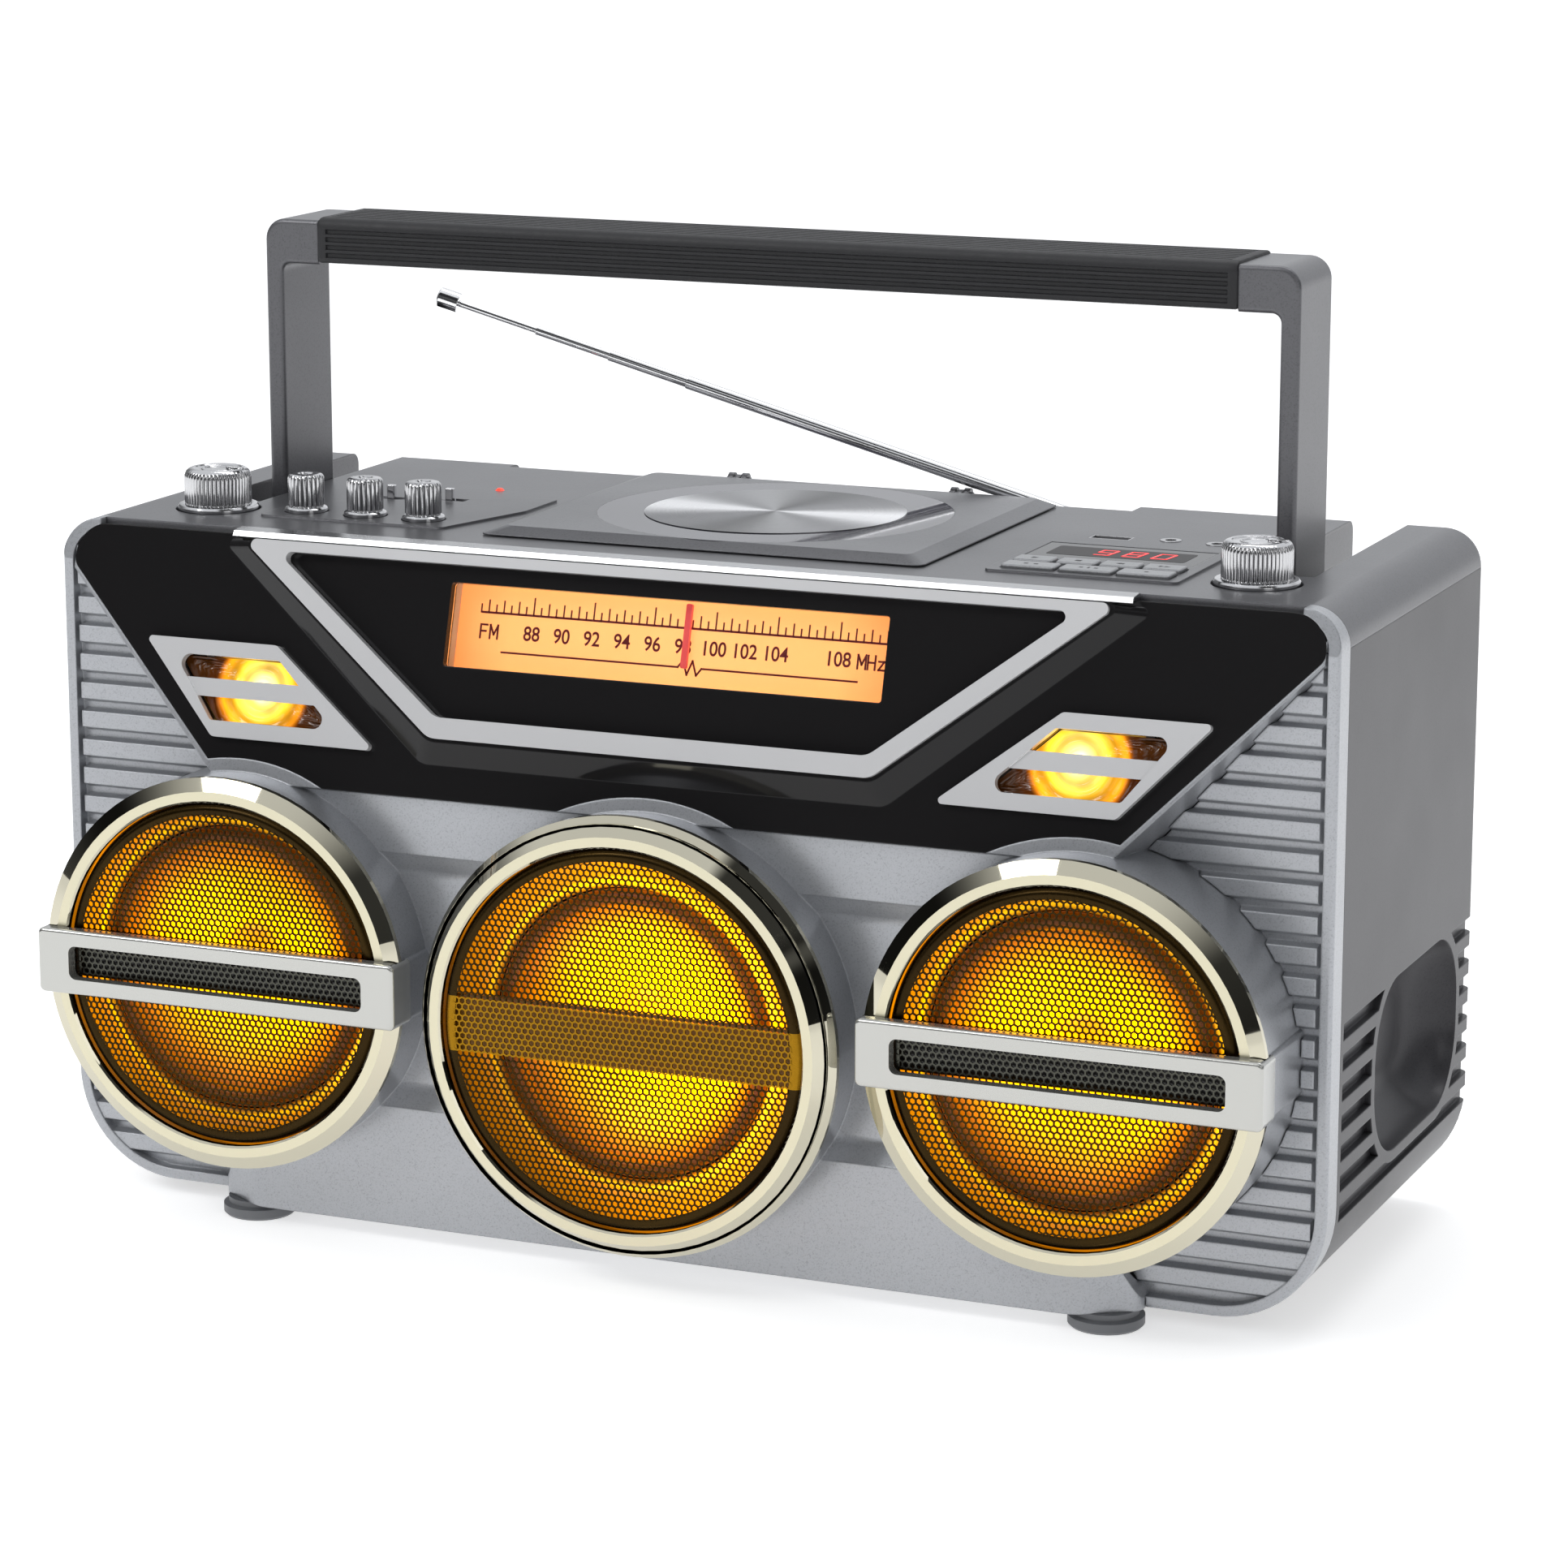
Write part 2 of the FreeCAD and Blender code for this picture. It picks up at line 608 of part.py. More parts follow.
def rear_cabinet():
    below = box(-300, 300, -200, 300, -50, SEAM_Z)
    outer = rounded_body().common(below)
    hollow = body_prism(WALL, SEAM_Y - 1, REAR_Y - WALL)
    shell = cut(outer, [hollow])
    liner = box(HALF_W - 6, HALF_W - WALL, -48.0, REAR_Y - WALL, 33.0, 103.0)
    bowl = port_bowl(WALL).common(box(0, HALF_W - WALL, -40, 95, 20, 120))
    bay = box(-BAY_HALF_X - 2, BAY_HALF_X + 2, BAY_FRONT_Y - 2, REAR_Y - WALL, BAY_Z0 - 2,
              BAY_Z1 + 2)
    shell = fuse([shell, bay] + both(liner) + both(bowl))
    tools = [box(-BAY_HALF_X, BAY_HALF_X, BAY_FRONT_Y, REAR_Y - WALL, BAY_Z0, BAY_Z1),
             box(-BAY_HALF_X - 1, BAY_HALF_X + 1, REAR_Y - WALL, REAR_Y + 1, BAY_Z0 - 1,
                 BAY_Z1 + 1)]
    for groove in side_grooves():
        tools += both(groove)
    tools += both(port_bowl(0))
    tools += both(channel_box(WALL, 300, 200))
    tools.append(plate(rect(INLET_X - 12, INLET_X + 12, INLET_Z - 8, INLET_Z + 8), 3.0, -110, -80,
                       FRONT))
    tools += [disc(x, z, 1.6, -110, -90, FRONT) for x, z in SCREWS]
    tools += [disc(x, z, 3.4, -110, -(REAR_Y - 1.2), FRONT) for x, z in SCREWS]
    for index in range(9):
        x = (index - 4) * 14.0
        tools.append(plate(rect(x - 1.6, x + 1.6, 120, 160), 1.5, -110, -90, FRONT))
    return cut(shell, tools)


def battery_door():
    """Hinged at its lower edge on two short round stubs, with a snap tongue on top."""
    panel = box(-BAY_HALF_X - 0.6, BAY_HALF_X + 0.6, REAR_Y - WALL + 0.4, REAR_Y, BAY_Z0 + 2.2,
                BAY_Z1 + 0.6)
    ribs = [box(x - 1.0, x + 1.0, REAR_Y - WALL - 1.2, REAR_Y - WALL + 0.4, BAY_Z0 + 6.0, BAY_Z1 - 6.0)
            for x in (-60.0, 0.0, 60.0)]
    barrel = place(Part.makeCylinder(1.2, 2 * BAY_HALF_X - 8, Vector(0, 0, -BAY_HALF_X + 4)),
                   Placement(Vector(0, REAR_Y - 1.3, BAY_Z0 + 1.4), SIDE.Rotation))
    tab = box(-BAY_HALF_X + 4, BAY_HALF_X - 4, REAR_Y - 2.1, REAR_Y - 0.5, BAY_Z0 + 1.4,
              BAY_Z0 + 2.2)
    return fuse([panel, barrel, tab] + ribs)


def battery_contacts():
    springs = []
    for side in (1, -1):
        for z in (30.0, 58.0):
            plate_x = side * (BAY_HALF_X - 0.4)
            springs.append(box(plate_x - 0.4, plate_x + 0.4, 72.0, 92.0, z - 10, z + 10))
            coil = Part.makeCone(7.0, 4.0, 6.0, Vector(side * (BAY_HALF_X - 0.8), 82, z),
                                 Vector(-side, 0, 0))
            core = Part.makeCone(5.6, 2.6, 6.0, Vector(side * (BAY_HALF_X - 0.8), 82, z),
                                 Vector(-side, 0, 0))
            springs.append(coil.cut(core))
    return Part.makeCompound(springs)


def ac_inlet():
    """Figure-of-eight mains socket with its two pins."""
    shell = plate(rect(INLET_X - 12, INLET_X + 12, INLET_Z - 8, INLET_Z + 8), 3.0,
                  -REAR_Y, -(REAR_Y - 18.0), FRONT)
    mouth = fuse([disc(INLET_X + dx, INLET_Z, 4.4, -REAR_Y - 1, -(REAR_Y - 12.0), FRONT)
                  for dx in (-3.8, 3.8)])
    pins = [disc(INLET_X + dx, INLET_Z, 1.2, -(REAR_Y - 3.0), -(REAR_Y - 12.5), FRONT)
            for dx in (-4.3, 4.3)]
    return fuse([cut(shell, [mouth])] + pins)


def case_screws():
    screws = []
    for x, z in SCREWS:
        shank = disc(x, z, 1.5, -REAR_Y + 1.2, -REAR_Y + 14.0, FRONT)
        head = disc(x, z, 3.1, -REAR_Y + 0.2, -REAR_Y + 1.2, FRONT)
        screws.append(fuse([shank, head]))
    return Part.makeCompound(screws)


def feet():
    places = [(x, y) for x in (-146.3, 146.3) for y in (-62.0, 78.0)]
    return Part.makeCompound([turned([(0, 0), (11.0, 0), (11.9, 0.9), (11.9, 3.6), (10.2, 4.2),
                                      (10.2, BASE_Z), (0, BASE_Z)], FLAT, x, y)
                              for x, y in places])


# ---- top cover ---------------------------------------------------------------------
COVER_FRONT = -53.1
GROOVE_FLOOR = 215.5      # floor of the ledge that the lowered antenna lies along
LED_POS = (-108.0, 44.0)
SWITCHES = {"function_switch": (-134.0, 16.0), "band_switch": (-113.0, 17.0)}
SWITCH_TRAVEL = 3.0       # each way from the middle
SWITCH_LEVER = 1.4        # half width of the lever
DISPLAY = (97.0, 152.0, -8.0, 18.0)
USB_POS = (110.5, 36.0)
JACKS = [(129.5, 38.0), (145.0, 37.0)]
JACK_R = 1.8
PLATEAU_H = 0.7
BUTTON_TRAVEL = 1.0
KEY_SWITCH_Z = 217.6      # top of the small switches under the buttons
BUTTON_TOP = TOP_Z + PLATEAU_H + 1.1


def button_layout():
    """Four keys in the rear row and three wider keys in the front row."""
    names = ["play_button", "stop_button", "skip_back_button", "skip_forward_button",
             "folder_button", "program_button", "mode_button"]
    keys = []
    for index in range(4):
        x = 98.0 + index * 13.9
        keys.append((x, x + 12.3, -20.5, -12.5))
    for index in range(3):
        x = 98.0 + index * 18.5
        keys.append((x, x + 17.0, -31.0, -23.0))
    return dict(zip(names, keys))


LID_AXIS_Z = TOP_Z + 1.7
LUG_R = 1.4
LUG_X = 40.0


def lid_lugs():
    """Ears on the deck that carry the lid's two hinge pins."""
    lugs = []
    for side in (1, -1):
        for x in (side * LUG_X - 3.4, side * LUG_X + 1.4):
            ear = fuse([place(Part.makeCylinder(LUG_R + 0.6, 2.0, Vector(0, 0, x)),
                              Placement(Vector(0, LID_REAR_Y, LID_AXIS_Z), SIDE.Rotation)),
                        box(x, x + 2.0, LID_REAR_Y - 2.0, LID_REAR_Y + 2.0, TOP_Z - 1, LID_AXIS_Z)])
            lugs.append(ear)
    return lugs


def plateau(points):
    return plate(points, 2.0, TOP_Z - 0.5, TOP_Z + PLATEAU_H, FLAT)


def pivot_space():
    """Room for the handle's pins, through the walls of the channels."""
    return [place(Part.makeCylinder(4.0, 36.0, Vector(0, 0, side * 181 - 18)),
                  Placement(Vector(0, PIVOT_Y, PIVOT_Z), SIDE.Rotation)) for side in (1, -1)]


def channel_liners(outer):
    """Troughs let into the deck, open at the top and the back, that take the folded handle."""
    troughs = both(channel_box(WALL, TOP_Z - 0.5, REAR_Y))
    return [cut(trough.common(outer), both(channel_box(0, 400, 300)) + pivot_space())
            for trough in troughs]


def top_cover():
    above = box(-300, 300, -200, 300, SEAM_Z, 400)
    outer = rounded_body().common(above)
    outer = fuse([outer, box(-202, 202, COVER_FRONT, SEAM_Y, TOP_Z - 6, TOP_Z)])
    hollow = body_prism(WALL, SEAM_Y - 1, REAR_Y - WALL).common(
        box(-300, 300, -200, 300, 100, TOP_Z - WALL))
    under_front = box(-200, 200, COVER_FRONT + 2, SEAM_Y + 1, 150, TOP_Z - WALL)
    shell = cut(outer, [hollow, under_front])
    ledge = box(-129.5, 102.5, 84.4, REAR_Y, GROOVE_FLOOR - WALL, TOP_Z - 0.5).common(outer)
    rims = [disc(x, BIG_KNOB_Y, 16.5, TOP_Z - 6.0, TOP_Z - 0.5, FLAT)
            for x in (-BIG_KNOB_X, BIG_KNOB_X)]
    rims += [disc(x, TONE_Y, 9.4, TOP_Z - 5.0, TOP_Z - 0.5, FLAT) for x in TONE_KNOBS.values()]
    decks = [plateau([(-157, -33), (-91, -33), (-80, 6), (-80, 31), (-90, 31), (-157, -5)]),
             plateau(rect(94.0, 156.0, -35.0, 22.0))]
    shell = fuse([shell, ledge] + rims + decks + lid_lugs())
    tools = both(channel_box(WALL, TOP_Z - 0.5, 300)) + both(channel_box(0, 400, 300))
    tools.append(box(-127.0, 100.0, 90.4, REAR_Y + 1, GROOVE_FLOOR, TOP_Z + 1))
    tools.append(box(48.0, 100.0, 86.4, REAR_Y + 1, GROOVE_FLOOR, TOP_Z + 1))
    tools.append(disc(0, DISC_Y, WELL_R + 0.5, 200, 240, FLAT))
    tools.append(disc(0, DISC_Y, WELL_R + 1.55, 200, TOP_Z - WALL, FLAT))
    for x in (-BIG_KNOB_X, BIG_KNOB_X):
        tools += [disc(x, BIG_KNOB_Y, 14.0, TOP_Z - 2.0, TOP_Z + 5, FLAT),
                  disc(x, BIG_KNOB_Y, 3.0 + FIT, 200, TOP_Z + 5, FLAT)]
    for x in TONE_KNOBS.values():
        tools += [disc(x, TONE_Y, 7.3, TOP_Z - 1.6, TOP_Z + 5, FLAT),
                  disc(x, TONE_Y, 2.5 + FIT, 200, TOP_Z + 5, FLAT)]
    for x, y in SWITCHES.values():
        reach = SWITCH_LEVER + SWITCH_TRAVEL + 1.0
        tools += [box(x - reach - 0.6, x + reach + 0.6, y - 2.2, y + 2.2, TOP_Z - 0.4, TOP_Z + 5),
                  box(x - reach, x + reach, y - 1.3, y + 1.3, 210, TOP_Z + 5)]
    tools.append(disc(LED_POS[0], LED_POS[1], 1.55, 210, TOP_Z + 5, FLAT))
    tools.append(box(*DISPLAY, 210, TOP_Z + 5))
    for x0, x1, y0, y1 in button_layout().values():
        tools.append(plate(rect(x0 - GAP, x1 + GAP, y0 - GAP, y1 + GAP), 0.8, 210, TOP_Z + 5, FLAT))
    tools.append(box(USB_POS[0] - 6.7, USB_POS[0] + 6.7, USB_POS[1] - 3.0, USB_POS[1] + 3.0,
                     210, TOP_Z + 5))
    tools += [disc(x, y, 3.4, 210, TOP_Z + 5, FLAT) for x, y in JACKS]
    tools.append(disc(ANT_PIVOT.x, ANT_PIVOT.z, STUD_R + FIT, -89.9, -80, FRONT))
    tools += [place(Part.makeCylinder(0.7, 9.0, Vector(0, 0, side * LUG_X - 4.5)),
                    Placement(Vector(0, LID_REAR_Y, LID_AXIS_Z), SIDE.Rotation)) for side in (1, -1)]
    return Part.makeCompound([cut(shell, tools)] + channel_liners(outer))


# ---- disc lid and mechanism --------------------------------------------------------
def cd_lid():
    low, high = TOP_Z + 0.35, TOP_Z + LID_H
    foot = rounded_wire(rect(-LID_HALF, LID_HALF, LID_FRONT_Y, LID_REAR_Y - 2.6), 3.0, low)
    lip = rounded_wire(rect(-LID_HALF, LID_HALF, LID_FRONT_Y, LID_REAR_Y - 2.6), 3.0, low + 0.4)
    crown = rounded_wire(rect(-LID_HALF + 6, LID_HALF - 6, LID_FRONT_Y + 6, LID_REAR_Y - 5.0),
                         3.0, high)
    slab = fuse([Part.makeLoft([foot, lip], True, True), Part.makeLoft([lip, crown], True, True)])
    tools = [disc(0, DISC_Y, WINDOW_R, high - 1.2, high + 1, FLAT),
             disc(0, DISC_Y, WINDOW_R - 2.5, low - 1, high + 1, FLAT)]
    knuckles = []
    for side in (1, -1):
        centre = side * LUG_X
        knuckles.append(fuse([
            place(Part.makeCylinder(LUG_R, 2.0, Vector(0, 0, centre - 1.0)),
                  Placement(Vector(0, LID_REAR_Y, LID_AXIS_Z), SIDE.Rotation)),
            box(centre - 1.0, centre + 1.0, LID_REAR_Y - 4.5, LID_REAR_Y, LID_AXIS_Z - 1.1,
                LID_AXIS_Z + 0.9),
            place(Part.makeCylinder(0.65, 8.6, Vector(0, 0, centre - 4.3)),
                  Placement(Vector(0, LID_REAR_Y, LID_AXIS_Z), SIDE.Rotation))]))
    latch = box(-5.0, 5.0, LID_FRONT_Y + 8.0, LID_FRONT_Y + 9.5, low, low + 0.5)
    return fuse([cut(slab, tools), latch] + knuckles)


def lid_window():
    high = TOP_Z + LID_H
    pane = disc(0, DISC_Y, WINDOW_R - 0.05, high - 1.2, high, FLAT)
    seat = disc(0, DISC_Y, BADGE_R + 0.02, high - 0.5, high + 1, FLAT)
    return cut(pane, [seat])


def lid_disc():
    high = TOP_Z + LID_H
    return disc(0, DISC_Y, BADGE_R, high - 0.5, high + 0.25, FLAT)


def cd_well():
    floor = 213.0
    cup = disc(0, DISC_Y, WELL_R + 1.5, floor - 1.5, TOP_Z - WALL, FLAT)
    hollow = disc(0, DISC_Y, WELL_R, floor, TOP_Z, FLAT)
    hub = disc(0, DISC_Y, 16.5, floor - 5, floor + 5, FLAT)
    slot = plate(rect(14.0, 50.0, DISC_Y - 8.5, DISC_Y + 8.5), 2.0, floor - 5, floor + 5, FLAT)
    return cut(cup, [hollow, hub, slot])


def cd_spindle():
    """Turntable with a spring-ball hub that centres the disc."""
    profile = [(0, 204.0), (1.0, 204.0), (1.0, 212.0), (15.0, 212.0), (15.0, 213.6), (7.4, 213.6),
               (7.4, 216.2), (6.0, 218.2), (0, 218.2)]
    return turned(profile, FLAT, 0, DISC_Y)


def cd_mechanism():
    """Loader chassis with the spindle motor and the sled's two guide rods."""
    floor = box(-30.0, 58.0, DISC_Y - 30, DISC_Y + 30, 196.0, 198.0)
    motor = cut(disc(0, DISC_Y, 11.0, 198.0, 206.0, FLAT),
                [disc(0, DISC_Y, 1.0 + FIT, 200.0, 210.0, FLAT)])
    posts = [box(x, x + 3.0, DISC_Y + dy - 2.0, DISC_Y + dy + 2.0, 198.0, 206.0)
             for x in (13.5, 55.0) for dy in (-20.0, 20.0)]
    rods = [place(Part.makeCylinder(1.0, 44.5, Vector(0, 0, 13.5)),
                  Placement(Vector(0, DISC_Y + dy, 203.0), SIDE.Rotation)) for dy in (-20.0, 20.0)]
    pillars = [disc(x, DISC_Y + dy, 3.0, 198.0, 211.5, FLAT) for x in (-25, 55) for dy in (-27, 27)]
    return fuse([floor, motor] + posts + rods + pillars)


def laser_sled():
    block = box(18.0, 34.0, DISC_Y - 23.0, DISC_Y + 23.0, 201.0, 205.0)
    bores = [place(Part.makeCylinder(1.0 + FIT, 80.0, Vector(0, 0, 0)),
                   Placement(Vector(0, DISC_Y + dy, 203.0), SIDE.Rotation)) for dy in (-20.0, 20.0)]
    head = box(20.0, 30.0, DISC_Y - 6.0, DISC_Y + 6.0, 205.0, 209.5)
    lens = disc(25.0, DISC_Y, 3.0, 209.5, 211.0, FLAT)
    return fuse([cut(block, bores), head, lens])


# ---- controls ----------------------------------------------------------------------
def big_knob(x, with_drum):
    """Knob, its skirt ring and the shaft that turns the control below the deck."""
    top = TOP_Z + 13.4
    profile = [(0, 203.0), (3.0, 203.0), (3.0, TOP_Z - 1.6), (13.2, TOP_Z - 1.6),
               (13.2, TOP_Z + 0.6), (12.4, TOP_Z + 1.4), (BIG_KNOB_R, TOP_Z + 1.4),
               (BIG_KNOB_R, top - 1.6), (BIG_KNOB_R - 1.4, top), (7.6, top), (7.6, top - 0.6),
               (0, top - 0.6)]
    parts = [turned(profile, FLAT, x, BIG_KNOB_Y)]
    if with_drum:
        parts.append(turned([(3.0, 203.0), (11.0, 203.0), (11.0, 204.0), (9.6, 204.6), (9.6, 206.4),
                             (11.0, 207.0), (11.0, 208.0), (3.0, 208.0)], FLAT, x, BIG_KNOB_Y))
    pointer = box(x - 0.7, x + 0.7, BIG_KNOB_Y + 3.0, BIG_KNOB_Y + 9.0, top - 0.6, top + 0.5)
    return fuse(parts + [pointer])


def tone_knob(x):
    top = TOP_Z + 13.0
    return turned([(0, 207.0), (2.5, 207.0), (2.5, TOP_Z - 1.2), (6.9, TOP_Z - 1.2),
                   (6.9, TOP_Z + 1.4), (TONE_R, TOP_Z + 2.0), (TONE_R, top - 1.0),
                   (TONE_R - 1.0, top), (2.4, top), (1.6, top - 0.8), (0, top - 0.9)],
                  FLAT, x, TONE_Y)


def slide_switch(x, y):
    lever = plate(rect(x - SWITCH_LEVER, x + SWITCH_LEVER, y - 1.0, y + 1.0), 0.4, TOP_Z - 6.0,
                  TOP_Z + 4.4, FLAT)
    base = box(x - 3.0, x + 3.0, y - 3.0, y + 3.0, TOP_Z - 6.0, TOP_Z - 4.4)
    return fuse([lever, base])


def push_button(x0, x1, y0, y1):
    cap = plate(rect(x0, x1, y0, y1), 0.8, TOP_Z - 3.4, BUTTON_TOP, FLAT)
    crown = [edge for edge in cap.Edges if edge.BoundBox.ZMin > BUTTON_TOP - 0.01]
    cap = cap.makeChamfer(0.35, crown)
    middle_x, middle_y = (x0 + x1) / 2, (y0 + y1) / 2
    return fuse([cap, disc(middle_x, middle_y, 1.6, KEY_SWITCH_Z + BUTTON_TRAVEL + 0.3, TOP_Z - 3.4,
                           FLAT)])


def display_window():
    x0, x1, y0, y1 = DISPLAY
    return box(x0, x1, y0, y1, TOP_Z - 1.0, TOP_Z + PLATEAU_H - 0.1)


def display_module():
    """Board with the digit block, the key switches and the standby lamp."""
    board = box(94.0, 158.0, -36.0, 24.0, 215.0, 216.6)
    digits = box(99.0, 150.0, -6.0, 16.0, 216.6, 222.0)
    keys = [box((x0 + x1) / 2 - 3, (x0 + x1) / 2 + 3, (y0 + y1) / 2 - 3, (y0 + y1) / 2 + 3,
                216.6, KEY_SWITCH_Z) for x0, x1, y0, y1 in button_layout().values()]
    lamp = turned([(0, 218.0), (1.5, 218.0), (1.5, TOP_Z), (0.8, TOP_Z + 0.7), (0, TOP_Z + 0.8)],
                  FLAT, *LED_POS)
    return Part.makeCompound([fuse([board, digits] + keys), lamp])


def top_sockets():
    x, y = USB_POS
    usb = cut(box(x - 6.7, x + 6.7, y - 3.0, y + 3.0, 209.0, TOP_Z),
              [box(x - 6.2, x + 6.2, y - 2.5, y + 2.5, 211.0, TOP_Z + 1)])
    tongue = box(x - 5.2, x + 5.2, y - 2.2, y - 0.6, 211.0, TOP_Z - 2.0)
    jacks = [cut(disc(jx, jy, 3.4, 209.0, TOP_Z + 0.2, FLAT),
                 [disc(jx, jy, JACK_R, 210.5, TOP_Z + 1, FLAT)]) for jx, jy in JACKS]
    return Part.makeCompound([fuse([usb, tongue])] + jacks)


def circuit_boards():
    """Main board, the control board with its potentiometers, and the mains transformer."""
    main = box(-110.0, 110.0, -20.0, -18.4, 165.0, 200.0)
    chips = [box(x, x + 14, -18.4, -15.0, 175.0, 189.0) for x in (-70.0, -20.0, 40.0)]
    control = box(-165.0, -92.0, -40.0, 26.0, 203.0, 204.6)
    pots = [cut(disc(x, TONE_Y, 7.5, 204.6, 212.0, FLAT),
                [disc(x, TONE_Y, 2.5 + FIT, 206.6, 220, FLAT)]) for x in TONE_KNOBS.values()]
    sliders = [cut(box(x - 8, x + 8, y - 4, y + 4, 204.6, TOP_Z - 4.0),
                   [box(x - 6.4, x + 6.4, y - 3.4, y + 3.4, TOP_Z - 6.4, TOP_Z)])
               for x, y in SWITCHES.values()]
    volume = cut(disc(-BIG_KNOB_X, BIG_KNOB_Y, 10.0, 194.0, 210.0, FLAT),
                 [disc(-BIG_KNOB_X, BIG_KNOB_Y, 3.0 + FIT, 202.6, 220, FLAT)])
    tuner = box(BIG_KNOB_X - 11, BIG_KNOB_X + 11, BIG_KNOB_Y - 11, BIG_KNOB_Y + 11, 180.0, 202.6)
    core = box(120.0, 170.0, 20.0, 60.0, 12.0, 50.0)
    coil = box(126.0, 164.0, 12.0, 68.0, 22.0, 40.0)
    feet_pads = box(116.0, 174.0, 26.0, 54.0, 8.5, 12.0)
    return Part.makeCompound([fuse([main] + chips), fuse([control] + pots + sliders), volume,
                              tuner, fuse([core, coil, feet_pads])])


# ---- handle ------------------------------------------------------------------------
GRIP_HALF = 158.0
HANDLE_R = 1.4            # rounding of the frame's edges


def handle_frame():
    outer = plate(rect(-POST_X, POST_X, PIVOT_Z - 40, HANDLE_TOP), [0, 0, 7, 7],
                  -POST_Y1, -POST_Y0, FRONT)
    inner = plate(rect(-POST_X + POST_T, POST_X - POST_T, PIVOT_Z - 60, HANDLE_TOP - ARM_H),
                  [0, 0, 3, 3], -POST_Y1 - 1, -POST_Y0 + 1, FRONT)
    frame = cut(outer, [inner])
    frame = frame.makeFillet(HANDLE_R, edges_in_plane(frame, POST_Y0) + edges_in_plane(frame, POST_Y1))
    length = 2 * POST_X + 10
    post_end = fuse([box(-POST_X - 1, POST_X + 1, POST_Y0, POST_Y1, PIVOT_Z, HANDLE_TOP + 1),
                     place(Part.makeCylinder((POST_Y1 - POST_Y0) / 2, length,
                                             Vector(0, 0, -length / 2)),
                           Placement(Vector(0, PIVOT_Y, PIVOT_Z), SIDE.Rotation))])
    frame = frame.common(post_end)
    core = box(-GRIP_HALF, GRIP_HALF, POST_Y0 - 1, POST_Y0 + 2.0, 290, HANDLE_TOP + 5)
    neck = [core, box(-GRIP_HALF, GRIP_HALF, POST_Y1 - 2.0, POST_Y1 + 1, 290, HANDLE_TOP + 5),
            box(-GRIP_HALF, GRIP_HALF, 0, 60, HANDLE_TOP - 2.0, HANDLE_TOP + 5),
            box(-GRIP_HALF, GRIP_HALF, 0, 60, 290, HANDLE_TOP - ARM_H + 1.2)]
    bore = place(Part.makeCylinder(4.0 + FIT, 400, Vector(0, 0, -200)),
                 Placement(Vector(0, PIVOT_Y, PIVOT_Z), SIDE.Rotation))
    return cut(frame, neck + [bore])


def handle_grip():
    low, high = HANDLE_TOP - ARM_H - 0.3, HANDLE_TOP + 1.0
    sleeve_shape = plate([(POST_Y0 - 0.8, low + 1.0), (POST_Y1 + 0.8, low + 1.0),
                          (POST_Y1 + 0.8, high - 4.0), (POST_Y1 - 4.0, high),
                          (POST_Y0 + 4.0, high), (POST_Y0 - 0.8, high - 4.0)], 1.5,
                         -GRIP_HALF, GRIP_HALF, SIDE)
    core = box(-200, 200, POST_Y0 + 2.0, POST_Y1 - 2.0, HANDLE_TOP - ARM_H + 1.2, HANDLE_TOP - 2.0)
    return cut(sleeve_shape, [core])


def handle_pins():
    """Pivot pins with the spacer bushes between post and rail."""
    parts = []
    plane = Placement(Vector(0, PIVOT_Y, PIVOT_Z), SIDE.Rotation)
    for side in (1, -1):
        pin = Part.makeCylinder(4.0, 27.0, Vector(0, 0, side * 181.5 - 13.5))
        spacer_mid = side * (POST_X + CHANNEL_X1) / 2
        length = CHANNEL_X1 - POST_X - 0.3
        spacer = Part.makeCylinder(8.0, length, Vector(0, 0, spacer_mid - length / 2 + side * 0.15))
        parts.append(place(pin.fuse(spacer).removeSplitter(), plane))
    return Part.makeCompound(parts)


# ---- antenna -----------------------------------------------------------------------
def antenna_plane():
    """Local z runs up the rod, local x along the tilt pin."""
    along = (ANT_TIP - ANT_PIVOT).normalize()
    pin = along.cross(Vector(0, 1, 0)).normalize()
    return Placement(ANT_PIVOT, Rotation(pin, along.cross(pin), along))


ROD_R = [2.3, 1.9, 1.55, 1.1]
ROD_BORE = [1.95, 1.6, 1.15]
ROD_START = [9.0, 40.5, 67.0, 95.0]
ROD_END = [143.9, 172.1, 198.7, 227.0]


def antenna_base():
    """Swivelling stud with a forked head and the tilt pin."""
    pivot = ANT_PIVOT
    stud = disc(pivot.x, pivot.z, STUD_R, -(pivot.y - 4.6), -(pivot.y - 12.5), FRONT)
    collar = disc(pivot.x, pivot.z, STUD_R - 0.1, -(pivot.y + 3.6), -(pivot.y - 5.0), FRONT)
    plane = antenna_plane()
    level = Placement(pivot, Rotation(plane.Rotation.multVec(Vector(1, 0, 0)), Vector(0, 1, 0),
                                      Vector(0, 0, 0)))
    slot = place(Part.makeBox(3.0, 40.0, 40.0, Vector(-1.5, -3.6, -20.0)), level)
    pin = place(Part.makeCylinder(0.8, 6.4, Vector(0, 0, -3.2)),
                Placement(pivot, Rotation(Vector(0, 0, 1), plane.Rotation.multVec(Vector(1, 0, 0)))))
    return fuse([stud, cut(collar, [slot]), pin])


def antenna_outer():
    tab = fuse([Part.makeCylinder(2.6, 2.4, Vector(-1.2, 0, 0), Vector(1, 0, 0)),
                Part.makeBox(2.4, 3.6, 10.0, Vector(-1.2, -1.8, 0))])
    tab = cut(tab, [Part.makeCylinder(0.8 + FIT, 10.0, Vector(-5, 0, 0), Vector(1, 0, 0))])
    rod = Part.makeCylinder(ROD_R[0], ROD_END[0] - ROD_START[0], Vector(0, 0, ROD_START[0]))
    bore = Part.makeCylinder(ROD_BORE[0], 200.0, Vector(0, 0, 12.0))
    return place(cut(fuse([tab, rod]), [bore]), antenna_plane())


